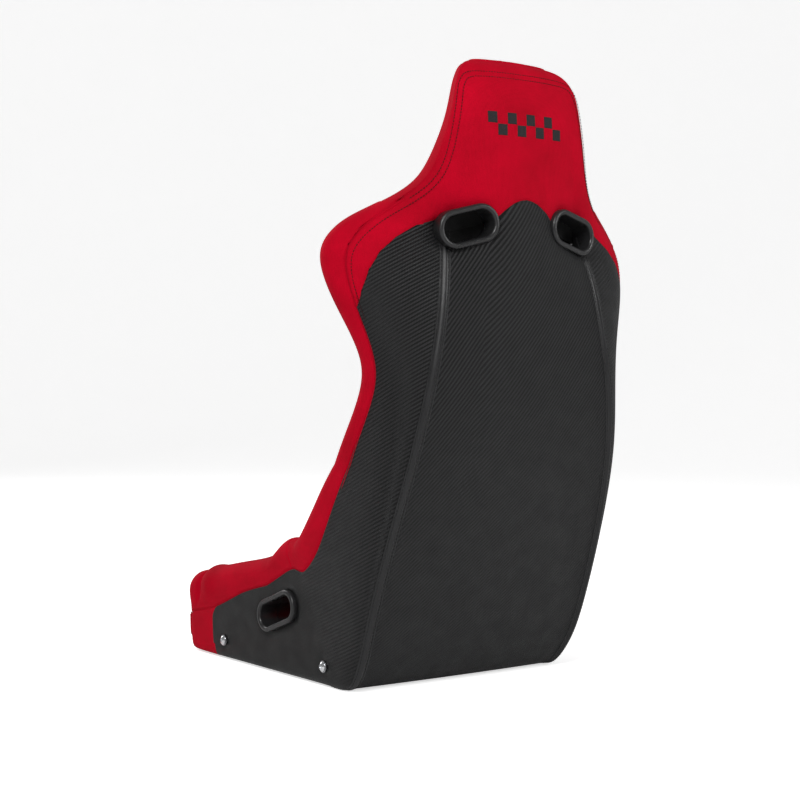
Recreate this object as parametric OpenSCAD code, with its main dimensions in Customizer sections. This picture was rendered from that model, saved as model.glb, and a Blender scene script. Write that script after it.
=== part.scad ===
// Fixed-back racing seat: a moulded composite bucket with sewn covers, foam pads,
// belt-slot bezels, side-mount hardware and a lift-out base cushion.
// Millimetres. +Z up, -Y is the way the driver faces, +X is the driver's left.
// The origin is on the flat underside, on the middle plane.

/* [Bucket] */
// Thickness of the composite wall
shell_t = 4; // [3:0.5:4]
// Thickness of the sewn covers
cover_t = 3; // [2:0.5:3]
// Radius of the rolled edge of the side bolsters
rim_r = 24; // [22:1:26]

/* [Shoulder belt slots] */
// Distance of a slot's centre from the middle plane
shoulder_x = 96; // [90:1:100]
// Height of a slot's centre
shoulder_z = 668; // [664:1:672]
// How far a slot drops towards its outer end, degrees
shoulder_tilt = 14; // [8:1:18]
// How far a slot faces outwards, degrees
shoulder_turn = 10; // [6:1:12]
// Width of the opening across the slot
shoulder_open = 39; // [36:1:42]
// Straight length of the opening, between its round ends
shoulder_straight = 42; // [38:1:46]

/* [Lap belt slots] */
// Fore-and-aft place of a slot's centre
lap_y = -28; // [-34:1:-22]
// Height of a slot's centre
lap_z = 98; // [94:1:102]
// How far a slot rises towards the back, degrees
lap_tilt = 20; // [14:1:24]
// Width of the opening across the slot
lap_open = 34; // [30:1:35]
// Straight length of the opening, between its round ends
lap_straight = 58; // [54:1:60]

/* [Crotch belt slot] */
// Fore-and-aft place of the slot's centre
crotch_y = -105; // [-115:1:-95]
// Width of the opening across the slot
crotch_open = 34; // [30:1:36]
// Straight length of the opening, between its round ends
crotch_straight = 56; // [50:1:60]

/* [Side mounts] */
// Distance between the front and the rear screw
mount_pitch = 290; // [285:1:295]
// Fore-and-aft place of the rear screw
mount_rear_y = 97; // [94:1:99]
// Height of the screws above the underside
mount_z = 31; // [30:1:32]
// Diameter of the screw
screw_d = 8; // [8:1:8]

/* [Base cushion] */
// Half width of the lift-out cushion
cushion_half = 146; // [140:1:147]
// Length of the lift-out cushion
cushion_len = 424; // [410:1:426]
// Height of the cushion's top at the front
cushion_top = 88; // [80:1:92]

/* [Hidden] */

eps = 0.3;                      // gap left between neighbouring layers
shell_out = cover_t + eps;      // depth of the shell's outer face under the covers
shell_in = shell_out + shell_t; // depth of the shell's inner face
foam_back = shell_in + eps;     // where the foam starts
seam_gap = 3;                   // half the gap that the piping fills
pivot = [-60, 330];             // y, z: the point that the section planes round the hip fan about

// One row for each section of the bucket, from the front of the pan to the top of the head.
//  y, z    rear skin on the middle plane
//  rx, rd  seam ridge: distance from the middle, depth in from the rear skin
//  sx, sd  corner that the side wall is pulled towards
//  bx, bd  edge of the side wall, where the rolled rim begins
//  w       how tightly the wall follows its corner
//  red     share of the wall, by parameter, that the black cover takes
//  fx, fd  foot of the bolster's inner face
//  pd      depth of the pad's face on the middle plane
sections = [
    [-318,   8, 180,  1, 196,   2, 197,  74, 3.0, .900, 156,  14,  78],
    [-308,   2, 188,  1, 205,   2, 205,  94, 3.5, .920, 154,  12,  80],
    [-292,   0, 191,  1, 208,   2, 209, 105, 4.0, .930, 153,  12,  82],
    [-226,   0, 192,  1, 208,   2, 210, 120, 4.0, .945, 152,  12,  82],
    [-140,   0, 192,  1, 208,   2, 211, 137, 4.0, .957, 152,  12,  78],
    [ -60,   0, 192,  1, 208,   2, 212, 154, 4.0, .963, 152,  12,  75],
    [  30,   0, 192,  1, 208,   2, 213, 177, 4.0, .962, 152,  14,  72],
    [ 100,   0, 191,  1, 208,   2, 214, 198, 3.8, .960, 150,  30,  70],
    [ 140,   0, 190,  1, 210,   2, 215, 212, 3.4, .957, 146,  48,  70],
    [ 165,  20, 192,  2, 212,   3, 217, 212, 3.0, .955, 142,  56,  70],
    [ 190,  57, 197,  3, 214,   4, 219, 202, 2.6, .952, 138,  58,  70],
    [ 215, 118, 199,  4, 217,   6, 221, 178, 2.3, .950, 134,  56,  68],
    [ 242, 190, 197,  5, 218,   7, 222, 158, 2.1, .948, 131,  54,  66],
    [ 268, 262, 192,  6, 218,   9, 222, 147, 1.9, .943, 128,  52,  64],
    [ 292, 340, 183,  7, 217,  12, 221, 134, 1.6, .930, 126,  52,  63],
    [ 304, 400, 174,  7, 214,  16, 219, 106, 1.3, .905, 126,  51,  62],
    [ 311, 445, 166,  8, 211,  20, 218,  91, 1.2, .885, 128,  50,  61],
    [ 314, 480, 160,  9, 214,  23, 223,  88, 1.1, .880, 130,  51,  61],
    [ 316, 520, 152, 11, 222,  27, 238,  93, 1.0, .870, 135,  52,  61],
    [ 318, 570, 144, 16, 234,  34, 260, 104, 1.0, .860, 142,  56,  62],
    [ 318, 612, 136, 24, 240,  42, 271, 112, 1.0, .840, 146,  72,  76],
    [ 317, 640, 129, 32, 235,  46, 268, 112, 1.0, .810, 144,  82,  86],
    [ 315, 662, 123, 36, 223,  48, 254, 105, 1.0, .760, 134,  86,  90],
    [ 313, 682, 117, 32, 205,  44, 231,  95, 1.0, .730, 118,  86,  90],
    [ 311, 702, 111, 24, 181,  34, 195,  82, 1.1, .700, 100,  84,  88],
    [ 310, 724, 105, 16, 158,  22, 162,  66, 1.3, .700,  84,  78,  84],
    [ 309, 750, 100, 11, 142,  14, 141,  53, 1.5, .700,  72,  71,  80],
    [ 309, 790,  96,  8, 132,  11, 128,  38, 1.6, .700,  66,  60,  73],
    [ 308, 830,  92,  7, 124,  10, 117,  29, 1.6, .700,  60,  52,  67],
    [ 303, 868,  88,  7, 118,   9, 108,  24, 1.6, .700,  54,  46,  58],
    [ 296, 890,  80,  7, 108,   9,  97,  21, 1.6, .700,  44,  40,  50],
    [ 286, 903,  68,  6,  94,   8,  83,  19, 1.6, .700,  32,  35,  42],
    [ 276, 909,  53,  5,  76,   7,  67,  16, 1.6, .700,  22,  28,  34]
];
row_front = 0;      // first section
row_apron = 3;      // where the black side cover starts
row_hip = 7;        // joint between thigh and torso bolsters, and foot of the rear cover
row_pad = 9;        // lower end of the back pad
row_crown = 18;     // where the head's rear cover starts, low on the shoulders
row_black = 24;     // section that the black covers reach at most
row_neck = 24;      // joint between back pad and headrest
row_top = 32;       // last section

// Section planes stand upright under the pan, lie level behind the back, and fan between.
function inward(y, z) =
    let (v = [min(0, pivot[0] - y), max(0, pivot[1] - z)]) v / norm(v);

// Point at distance x from the middle and depth d in from the rear skin of section s.
function place(s, x, d) =
    let (n = inward(s[0], s[1])) [x, s[0] + n[0] * d, s[1] + n[1] * d];

// Quadratic curve from a to b, pulled towards c with weight w.
function conic(a, c, b, w, t) =
    let (k = (1 - t) * (1 - t), m = 2 * w * t * (1 - t), n = t * t) (k * a + m * c + n * b) / (k + m + n);

function cubic(a, b, c, d, t) =
    pow(1 - t, 3) * a + 3 * t * pow(1 - t, 2) * b + 3 * t * t * (1 - t) * c + pow(t, 3) * d;

// The outline of half a section, from the rear middle round the rim to the front middle.
i_panel = 3;    // last point of the centre panel
i_ridge = 4;    // on the seam
i_side = 5;     // first point of the side panel
i_red = 9;      // end of the black side cover
i_edge = 11;    // edge of the shell
i_roll = 15;    // end of the rolled rim
i_foot = 19;    // foot of the bolster's inner face
i_mid = 22;     // middle of the pad's face
side_share = [.06, .3, .55, .8, 1];
function outline(s) =
    let (
        rear = [0, 0], ridge = [s[2], s[3]], corner = [s[4], s[5]], edge = [s[6], s[7]],
        w = s[8], red = s[9], foot = [s[10], s[11]], face = [0, s[12]],
        reach = [max(0, edge[0] - corner[0]), edge[1] - corner[1]],
        run = reach / norm(reach),
        aside = [-run[1], run[0]],
        rim = min(rim_r, (edge[0] - foot[0]) / 2 - 1),
        centre = edge + rim * aside,
        rolled = centre + rim * aside,
        drop = norm(rolled - foot)
    )
    concat(
        [for (j = [0:3]) let (x = (s[2] - seam_gap) * j / 3) [x, s[3] * x * x / (s[2] * s[2])]],
        [ridge],
        [for (k = side_share) conic(ridge, corner, edge, w, red * k)],
        [for (k = [.5, 1]) conic(ridge, corner, edge, w, red + (1 - red) * k)],
        [for (a = [45, 90, 135, 180]) centre - rim * cos(a) * aside + rim * sin(a) * run],
        [for (k = [.25, .5, .75, 1]) cubic(rolled, rolled - run * drop * .35, foot + [6, 8], foot, k)],
        [for (k = [1/3, 2/3]) [foot[0] * (1 - k), foot[1] + (face[1] - foot[1]) * sin(90 * k)]],
        [face]
    );

// The outline moved inwards by depth k.
function lowered(p, k) = [
    for (i = [0:len(p) - 1])
        let (a = p[max(0, i - 1)], b = p[min(len(p) - 1, i + 1)],
             v = (i == 0 || i == len(p) - 1) ? [i == 0 ? 1 : -1, 0] : b - a,
             n = [-v[1], v[0]] / norm(v))
        p[i] + k * n
];

function part_of(p, a, b) = [for (i = [a:(b < a ? -1 : 1):b]) p[i]];
function flip(p) = [for (q = p) [-q[0], q[1]]];
function reversed(p) = [for (i = [len(p) - 1:-1:0]) p[i]];
function across(p) = concat(reversed(flip(part_of(p, 1, len(p) - 1))), p);
function set_in_place(s, loop) = [for (q = loop) place(s, q[0], q[1])];

// Triangles that close a loop of n points by zigzagging between its two halves, first point number o.
function cap(n, o, turned) = [
    for (i = [0:n - 3])
        let (low = floor((i + 1) / 2), high = n - 1 - floor(i / 2),
             q = i % 2 == 0 ? [low, low + 1, high] : [low, high - 1, high])
        turned ? [o + q[2], o + q[1], o + q[0]] : [o + q[0], o + q[1], o + q[2]]
];

// Closed solid through a list of loops with the same number of points. Each patch between two
// loops is split along its shorter diagonal, so that neighbouring layers split alike.
module loft(loops) {
    n = len(loops[0]);
    last = len(loops) - 1;
    polyhedron(
        points = [for (l = loops) for (p = l) p],
        faces = concat(
            cap(n, 0, true),
            [for (i = [0:last - 1]) for (j = [0:n - 1]) for (h = [0, 1])
                let (k = (j + 1) % n, a = i * n + j, b = i * n + k, c = b + n, d = a + n,
                     slant = norm(loops[i][j] - loops[i + 1][k]) - norm(loops[i][k] - loops[i + 1][j]))
                slant < 0 ? (h == 0 ? [a, b, c] : [a, c, d]) : (h == 0 ? [a, b, d] : [b, c, d])],
            cap(n, last * n, false)
        ),
        convexity = 8
    );
}

// Sheet along outline points a to b of rows r0 to r1, between two depths.
module half_sheet(r0, r1, a, b, d0, d1) {
    loft([for (r = [r0:r1]) let (s = sections[r], p = outline(s))
        set_in_place(s, concat(part_of(lowered(p, d0), a, b), part_of(lowered(p, d1), b, a)))]);
}

// The same on both sides of the middle, as one sheet, from the middle out to point b.
module full_sheet(r0, r1, b, d0, d1) {
    loft([for (r = [r0:r1]) let (s = sections[r], p = outline(s),
        outer = across(part_of(lowered(p, d0), 0, b)), inner = across(part_of(lowered(p, d1), 0, b)))
        set_in_place(s, concat(outer, reversed(inner)))]);
}

// The front face as one sheet, from point a on one side over the middle to the other.
module front_sheet(r0, r1, a, d0, d1) {
    loft([for (r = [r0:r1]) let (s = sections[r], p = outline(s),
        outer = across(reversed(part_of(lowered(p, d0), a, i_mid))),
        inner = across(reversed(part_of(lowered(p, d1), a, i_mid))))
        set_in_place(s, concat(inner, reversed(outer)))]);
}

// Ring or plug with straight sides and round ends; the child is its wall's profile (radius, height).
module obround_ring(straight) {
    for (m = [0, 180]) rotate([0, 0, m]) {
        translate([straight / 2, 0, 0]) rotate([0, 0, -90]) rotate_extrude(angle = 180, $fn = 48) children();
        translate([-straight / 2, 0, 0]) rotate([90, 0, 90]) linear_extrude(straight) children();
    }
}
module obround(straight, r, h0, h1) {
    translate([0, 0, h0]) linear_extrude(h1 - h0) union() {
        translate([straight / 2, 0]) circle(r, $fn = 48);
        translate([-straight / 2, 0]) circle(r, $fn = 48);
        square([straight, 2 * r], center = true);
    }
}

// Wall profile of a bezel: a thick rounded lip on a thin sleeve that runs down to depth.
lip_t = 8.5;      // thickness of the lip
sleeve_t = 3;     // thickness of the sleeve
lip_seat = 16;    // how far the thick part goes under the cover
module bezel_profile(open, proud, depth) {
    r = open / 2;
    lip = lip_t / 2;
    polygon(concat(
        [[r, -depth], [r + sleeve_t, -depth], [r + sleeve_t, -lip_seat], [r + lip_t, -lip_seat]],
        [for (a = [0:22.5:180]) [r + lip + lip * cos(a), proud - lip + lip * sin(a)]]
    ));
}
hole_gap = 0.4;   // clearance round a bezel

// Frames that put a slot's own axes in the seat: local X along the slot, local Z out of the cover.
shoulder_surface_y = 292; // the rear cover's Y where a shoulder slot passes through it
shoulder_face_y = 227;    // the pad's Y there
shoulder_shift = 12;      // how far the slot's front mouth lies outside its rear mouth
rear_sleeve = 24;         // length of the rear bezel's sleeve
front_sleeve = 36;        // length of the front bezel's sleeve
module at_shoulder() {
    translate([shoulder_x, shoulder_surface_y, shoulder_z])
        rotate([0, 0, -shoulder_turn]) rotate([-90, 0, 0]) rotate([0, 0, shoulder_tilt]) children();
}
module at_shoulder_front() {
    translate([shoulder_x + shoulder_shift, shoulder_face_y, shoulder_z])
        rotate([90, 0, 0]) rotate([0, 0, -shoulder_tilt]) children();
}
lap_surface_x = 209;      // the side cover's X where a lap slot passes through it
lap_deep = 49;            // from the side cover to the bolster's inner face
module at_lap() {
    translate([lap_surface_x, lap_y, lap_z])
        rotate([0, 90, 0]) rotate([0, 0, 90 + lap_tilt]) children();
}
module at_crotch() { translate([0, crotch_y, 0]) children(); }

module shoulder_holes(r = shoulder_open / 2 + lip_t + hole_gap) {
    for (m = [0, 1]) mirror([m, 0, 0]) {
        at_shoulder() obround(shoulder_straight, r, -rear_sleeve - 6, 80);
        at_shoulder_front() obround(shoulder_straight, r, -front_sleeve - 2, 80);
    }
}
module lap_hole(r = lap_open / 2 + lip_t + hole_gap) {
    at_lap() obround(lap_straight, r, -90, 40);
}
module crotch_hole(r, z0, z1) { at_crotch() obround(crotch_straight, r, z0, z1); }

// Screw places on the driver's left; the right side is their mirror image.
mount_face_x = 209;     // outside of the side cover at the screws
mount_ys = [mount_rear_y - mount_pitch, mount_rear_y];
module at_mounts() {
    for (y = mount_ys) translate([mount_face_x, y, mount_z]) rotate([0, 90, 0]) children();
}
module both_sides() { for (m = [0, 1]) mirror([m, 0, 0]) children(); }

// ---- structure ------------------------------------------------------------------------------
module frp_shell() {
    color([0.16, 0.16, 0.17]) difference() {
        full_sheet(row_front + 1, row_top - 1, i_edge, shell_out, shell_in);
        shoulder_holes();
        both_sides() lap_hole();
        both_sides() at_mounts() cylinder(d = screw_d + 1, h = 60, center = true, $fn = 32);
        crotch_hole(crotch_open / 2 + sleeve_t + hole_gap, -5, 20);
    }
}

underside_back = 96;   // rear end of the underside cover
module underside_panel() {
    color([0.05, 0.05, 0.05]) difference() {
        linear_extrude(cover_t - eps) polygon([
            [-188, -222], [188, -222], [188, underside_back], [-188, underside_back]]);
        crotch_hole(crotch_open / 2 + sleeve_t + hole_gap, -5, 20);
    }
}

// ---- side-mount hardware --------------------------------------------------------------------
plate_t = 3;           // steel plate laminated against the shell's inner face
plate_h = 24;
plate_x = mount_face_x - 11; // outside of the plate, just inside the shell
module mount_plate() {
    color([0.45, 0.46, 0.48]) difference() {
        translate([plate_x - plate_t, mount_ys[0] - 22, mount_z - plate_h / 2])
            cube([plate_t, mount_pitch + 44, plate_h]);
        at_mounts() cylinder(d = screw_d + .6, h = 60, center = true, $fn = 32);
    }
}
module mount_plate_left() { mount_plate(); }
module mount_plate_right() { mirror([1, 0, 0]) mount_plate(); }

nut_h = 6.5;
module mount_nuts() {
    color([0.6, 0.6, 0.62]) both_sides() for (y = mount_ys)
        translate([plate_x - plate_t - nut_h, y, mount_z]) rotate([0, 90, 0]) difference() {
            cylinder(d = 15, h = nut_h, $fn = 6);
            translate([0, 0, -1]) cylinder(d = screw_d, h = nut_h + 2, $fn = 48);
        }
}
washer_t = 1.6;
washer_gap = .1;
module mount_washers() {
    color([0.75, 0.76, 0.78]) both_sides() at_mounts() difference() {
        translate([0, 0, washer_gap]) cylinder(d = 17, h = washer_t, $fn = 48);
        cylinder(d = screw_d + .4, h = 20, center = true, $fn = 48);
    }
}
head_d = 14;
head_h = 4.6;
screw_len = 24;
socket_r = 2.9;
module mount_screws() {
    color([0.85, 0.86, 0.88]) both_sides() at_mounts() translate([0, 0, washer_gap + washer_t]) difference() {
        union() {
            translate([0, 0, -screw_len]) cylinder(d = screw_d - .1, h = screw_len + 1, $fn = 48);
            intersection() {
                cylinder(d = head_d, h = head_h, $fn = 48);
                translate([0, 0, head_h - 9.2]) sphere(r = 9.2, $fn = 48);
            }
        }
        translate([0, 0, head_h - 2.6]) cylinder(r = socket_r, h = 5, $fn = 6);
    }
}

// ---- rear covers ----------------------------------------------------------------------------
// Upper border of the black covers, seen from behind: it peaks on the middle plane, drops to the
// belt slots, and runs round the shoulders.
peak_z = 709;
slot_z = 672;
module black_zone() {
    border = concat(
        [for (k = [0:4]) let (t = k / 4) [62 * t, slot_z + (peak_z - slot_z) * cos(90 * t)]],
        [[96, slot_z], [140, slot_z + 4], [168, slot_z - 5], [198, slot_z - 24], [218, slot_z - 44],
         [230, slot_z - 66], [237, slot_z - 96], [240, slot_z - 140], [240, -20]]
    );
    rotate([90, 0, 0]) translate([0, 0, -400]) linear_extrude(800)
        polygon(concat(border, reversed(flip(border))));
}
module rear_centre_panel() {
    color([0.08, 0.08, 0.085]) difference() {
        intersection() {
            full_sheet(row_hip, row_black, i_panel, 0, cover_t);
            black_zone();
        }
        shoulder_holes();
    }
}
module rear_side_panel() {
    color([0.08, 0.08, 0.085]) difference() {
        intersection() {
            half_sheet(row_apron, row_black, i_side, i_red, 0, cover_t);
            black_zone();
        }
        shoulder_holes();
        lap_hole();
        at_mounts() cylinder(d = screw_d + 1, h = 60, center = true, $fn = 32);
    }
}
module rear_side_panel_left() { rear_side_panel(); }
module rear_side_panel_right() { mirror([1, 0, 0]) rear_side_panel(); }

// Piping: a vinyl band over the seam ridge with a round cord sewn into it.
piping_h = 2.4;   // height of the cord above the covers
module rear_piping() {
    color([0.03, 0.03, 0.03]) difference() {
        intersection() {
            loft([for (r = [row_hip:row_black - 2]) let (s = sections[r], p = outline(s),
                low = lowered(p, cover_t), high = lowered(p, r < row_pad ? -.2 : -piping_h),
                a = p[i_panel], b = p[i_ridge], c = p[i_side], top = high[i_ridge])
                set_in_place(s, [a, (a + b) / 2, (b * .7 + a * .3) + (top - b) * .8, top,
                    (b * .7 + c * .3) + (top - b) * .8, (b + c) / 2, c,
                    low[i_side], low[i_ridge] * .4 + low[i_side] * .6, low[i_ridge] * .8 + low[i_side] * .2,
                    low[i_ridge], low[i_ridge] * .8 + low[i_panel] * .2,
                    low[i_ridge] * .4 + low[i_panel] * .6, low[i_panel]])]);
            black_zone();
        }
        shoulder_holes();
    }
}
module rear_piping_left() { rear_piping(); }
module rear_piping_right() { mirror([1, 0, 0]) rear_piping(); }

module head_cover_rear() {
    color([0.72, 0.02, 0.07]) difference() {
        full_sheet(row_neck, row_top, i_edge, 0, cover_t);
        black_zone();
    }
}
module shoulder_cover_rear() {
    color([0.72, 0.02, 0.07]) difference() {
        full_sheet(row_crown, row_neck, i_red, 0, cover_t);
        black_zone();
        shoulder_holes();
    }
}
// Gusset that closes the top of the head between the rear and the front cover.
crown_h = 5;
module head_gusset() {
    s = sections[row_top];
    p = outline(s);
    front = across(reversed(part_of(p, i_edge + 1, i_mid)));
    loop = concat(across(part_of(p, 0, i_edge)), reversed(front));
    color([0.72, 0.02, 0.07]) loft([for (k = [2, 1, 0]) let (shrink = 1 - .22 * k * k)
        [for (q = loop) let (c = [0, s[12] / 2], v = c + (q - c) * shrink)
            place(s, v[0], v[1]) + [0, 0, crown_h * sin(45 * k)]]]);
}
// Red cover that wraps the front edge of the pan, under it and up both sides.
module front_apron() {
    color([0.72, 0.02, 0.07]) full_sheet(row_front, row_apron, i_red, 0, cover_t - eps);
}
// Embroidered chequered patch, eight squares by two.
patch_z = 816;
patch_square = 17;
patch_y = 310.2;    // middle of the patch's thickness on the middle plane
patch_sag = 7.2 / (92 * 92); // curve of the head's rear, as depth per distance squared
module emblem_patch() {
    color([0.12, 0.12, 0.12])
        for (i = [-4:3]) for (j = [0, 1]) if ((i + j) % 2 == 0)
            let (x = (i + .5) * patch_square)
                translate([x, patch_y - patch_sag * x * x, patch_z + (j - .5) * patch_square])
                    cube([patch_square - .4, 1.6, patch_square - .4], center = true);
}

// ---- foam and front covers ------------------------------------------------------------------
// Where bolster foam and back foam part: distance from the middle, and depth of the foam there.
function parting_x(s) = min(s[10], s[2] - 4);
function foam_floor(s, x) = foam_back * 1.2 + .3 + s[3] * pow(x / s[2], 2);

// Foam of a side bolster: between the shell's inner face and the cover.
function bolster_loop(s) =
    let (p = outline(s), back = lowered(p, foam_back), face = lowered(p, cover_t + eps), x = parting_x(s) + 1.5)
    set_in_place(s, concat(
        [[x, foam_floor(s, x)]],
        part_of(back, i_ridge, i_edge),
        part_of(face, i_edge + 1, i_foot - 1),
        [face[i_foot] + [1.5, -1]]));
module bolster_foam(r0, r1) { loft([for (r = [r0:r1]) bolster_loop(sections[r])]); }
// Cover of a side bolster: from the black cover's edge over the rim to the bolster's foot.
module bolster_cover(r0, r1) {
    half_sheet(r0, r1, i_red, i_foot, 0, cover_t);
}
// Room in the foam for the plate, its nuts and the ends of the screws.
module mount_pocket() {
    at_mounts() cylinder(d = 18, h = 60, center = true, $fn = 32);
    translate([plate_x - plate_t - .5, mount_ys[0] - 24, mount_z - plate_h / 2 - 2])
        cube([30, mount_pitch + 48, plate_h + 4]);
}
module thigh_bolster_foam() {
    color([0.80, 0.78, 0.70]) difference() {
        bolster_foam(row_front + 1, row_hip);
        lap_hole();
        mount_pocket();
    }
}
module thigh_bolster_cover() {
    color([0.72, 0.02, 0.07]) difference() {
        union() {
            bolster_cover(row_front, row_hip);
            bolster_end();
        }
        lap_hole();
    }
}
// Sewn end panel that closes the front of a thigh bolster.
module bolster_end() {
    s = sections[row_front];
    loft([for (y = [.2, cover_t]) [for (q = bolster_loop(s)) q + [0, y, 0]]]);
}
module torso_bolster_foam() {
    color([0.80, 0.78, 0.70]) difference() {
        bolster_foam(row_hip, row_neck);
        shoulder_holes();
        mount_pocket();
    }
}
module torso_bolster_cover() {
    color([0.72, 0.02, 0.07]) difference() {
        bolster_cover(row_hip, row_neck);
        shoulder_holes();
    }
}
module thigh_bolster_foam_left() { thigh_bolster_foam(); }
module thigh_bolster_foam_right() { mirror([1, 0, 0]) thigh_bolster_foam(); }
module thigh_bolster_cover_left() { thigh_bolster_cover(); }
module thigh_bolster_cover_right() { mirror([1, 0, 0]) thigh_bolster_cover(); }
module torso_bolster_foam_left() { torso_bolster_foam(); }
module torso_bolster_foam_right() { mirror([1, 0, 0]) torso_bolster_foam(); }
module torso_bolster_cover_left() { torso_bolster_cover(); }
module torso_bolster_cover_right() { mirror([1, 0, 0]) torso_bolster_cover(); }

// Pads between the bolsters.
module back_foam() {
    color([0.80, 0.78, 0.70]) difference() {
        loft([for (r = [row_pad:row_neck]) let (s = sections[r], x = parting_x(s) - 1.5,
            face = lowered(outline(s), cover_t + eps), side = [s[10] - 4, face[i_foot][1] - 1])
            set_in_place(s, concat(
                [for (k = [-1:.25:1]) [x * k, foam_floor(s, x * k)]],
                [side],
                reversed(across(reversed(part_of(face, i_foot + 1, i_mid)))),
                [[-side[0], side[1]], [-x, foam_floor(s, x) + 1]]))]);
        shoulder_holes();
    }
}
module back_cover() {
    color([0.72, 0.02, 0.07]) difference() {
        front_sheet(row_pad, row_neck, i_foot, 0, cover_t);
        shoulder_holes();
    }
}
module headrest_foam() {
    color([0.80, 0.78, 0.70])
        loft([for (r = [row_neck:row_top - 1]) let (s = sections[r], p = outline(s),
            back = across(part_of(lowered(p, foam_back), 0, i_edge)),
            face = across(reversed(part_of(lowered(p, cover_t + eps), i_edge + 1, i_mid))))
            set_in_place(s, concat(back, reversed(face)))]);
}
module headrest_cover() {
    color([0.72, 0.02, 0.07]) front_sheet(row_neck, row_top, i_edge, 0, cover_t);
}

// ---- belt-slot bezels -----------------------------------------------------------------------
module shoulder_rear() {
    color([0.04, 0.04, 0.04]) at_shoulder() obround_ring(shoulder_straight)
        bezel_profile(shoulder_open, 12, rear_sleeve);
}
module shoulder_front() {
    color([0.04, 0.04, 0.04]) at_shoulder_front() obround_ring(shoulder_straight)
        bezel_profile(shoulder_open, 9, front_sleeve);
}
module shoulder_bezel_rear_left() { shoulder_rear(); }
module shoulder_bezel_rear_right() { mirror([1, 0, 0]) shoulder_rear(); }
module shoulder_bezel_front_left() { shoulder_front(); }
module shoulder_bezel_front_right() { mirror([1, 0, 0]) shoulder_front(); }

module lap_outer() {
    color([0.04, 0.04, 0.04]) at_lap() obround_ring(lap_straight)
        bezel_profile(lap_open, 8, lap_deep / 2 - eps);
}
module lap_inner() {
    color([0.04, 0.04, 0.04]) at_lap() translate([0, 0, -lap_deep]) mirror([0, 0, 1])
        obround_ring(lap_straight) bezel_profile(lap_open, 6, lap_deep / 2);
}
module lap_bezel_outer_left() { lap_outer(); }
module lap_bezel_outer_right() { mirror([1, 0, 0]) lap_outer(); }
module lap_bezel_inner_left() { lap_inner(); }
module lap_bezel_inner_right() { mirror([1, 0, 0]) lap_inner(); }

// ---- base cushion and its fixing ------------------------------------------------------------
strip_t = 1.4;
strip_w = 50;
strip_len = 300;
module strips(z) {
    for (x = [-95, 95]) translate([x - strip_w / 2, -250, z]) cube([strip_w, strip_len, strip_t]);
}
loop_z = shell_in + .7;
hook_z = loop_z + strip_t + eps;
cushion_z = hook_z + strip_t + .1;
module loop_strips() { color([0.10, 0.10, 0.10]) strips(loop_z); }
module hook_strips() { color([0.10, 0.10, 0.10]) strips(hook_z); }

module crotch_bezel_shell() {
    color([0.04, 0.04, 0.04]) at_crotch() translate([0, 0, 1]) obround_ring(crotch_straight) {
        r = crotch_open / 2;
        polygon([[r, 0], [r + sleeve_t, 0], [r + sleeve_t, shell_in - .9],
                 [r + lip_t, shell_in - .9], [r + lip_t, shell_in + .6], [r, shell_in + .6]]);
    }
}

cushion_front = -314;
cushion_steps = 8;
cushion_taper = 8;        // how much narrower each side is at the back
cushion_back_drop = 16;   // how much lower the cushion's top is at the back
// Height of the cushion's top surface at fore-and-aft share t, at sideways share u.
function cushion_z_top(t, u) =
    cushion_top - cushion_back_drop * t - 10 * pow(max(0, 1 - t * 5), 2)
    - 12 * pow(abs(u), 4) - 5 * (1 - u * u) * sin(180 * min(1, t * 1.1));
function cushion_loop(t, inset) =
    let (y = cushion_front + inset + (cushion_len - 2 * inset) * t,
         h = cushion_half - inset - cushion_taper * pow(t, 4))
    concat(
        [[-h + 6, y, cushion_z + inset], [h - 6, y, cushion_z + inset], [h, y, cushion_z + inset + 10]],
        [for (k = [4:-1:-4]) [h * k / 4, y, cushion_z_top(t, k / 4) - inset]],
        [[-h, y, cushion_z + inset + 10]]
    );
module cushion_solid(inset) { loft([for (i = [0:cushion_steps]) cushion_loop(i / cushion_steps, inset)]); }
cushion_hole_r = crotch_open / 2 + lip_t + hole_gap;
module base_cushion_cover() {
    color([0.72, 0.02, 0.07]) difference() {
        cushion_solid(0);
        cushion_solid(cover_t - .5);
        crotch_hole(cushion_hole_r, 0, 150);
    }
}
module base_cushion_foam() {
    color([0.80, 0.78, 0.70]) difference() {
        cushion_solid(cover_t - .2);
        crotch_hole(cushion_hole_r, 0, 150);
    }
}
crotch_lip_z = 81;   // top of the ring that lines the cushion's belt slot
module crotch_bezel_cushion() {
    color([0.04, 0.04, 0.04]) at_crotch() obround_ring(crotch_straight) {
        r = crotch_open / 2;
        lip = lip_t / 2;
        polygon(concat(
            [[r, cushion_z + 1], [r + sleeve_t, cushion_z + 1], [r + sleeve_t, crotch_lip_z - 20],
             [r + lip_t, crotch_lip_z - 20]],
            [for (a = [0:22.5:180]) [r + lip + lip * cos(a), crotch_lip_z - lip + lip * sin(a)]]
        ));
    }
}

frp_shell();
underside_panel();
mount_plate_left();
mount_plate_right();
mount_nuts();
mount_washers();
mount_screws();
rear_centre_panel();
rear_side_panel_left();
rear_side_panel_right();
rear_piping_left();
rear_piping_right();
shoulder_cover_rear();
head_cover_rear();
head_gusset();
front_apron();
emblem_patch();
back_foam();
back_cover();
headrest_foam();
headrest_cover();
torso_bolster_foam_left();
torso_bolster_foam_right();
torso_bolster_cover_left();
torso_bolster_cover_right();
thigh_bolster_foam_left();
thigh_bolster_foam_right();
thigh_bolster_cover_left();
thigh_bolster_cover_right();
shoulder_bezel_rear_left();
shoulder_bezel_rear_right();
shoulder_bezel_front_left();
shoulder_bezel_front_right();
lap_bezel_outer_left();
lap_bezel_outer_right();
lap_bezel_inner_left();
lap_bezel_inner_right();
crotch_bezel_shell();
loop_strips();
base_cushion_foam();
base_cushion_cover();
hook_strips();
crotch_bezel_cushion();
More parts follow.
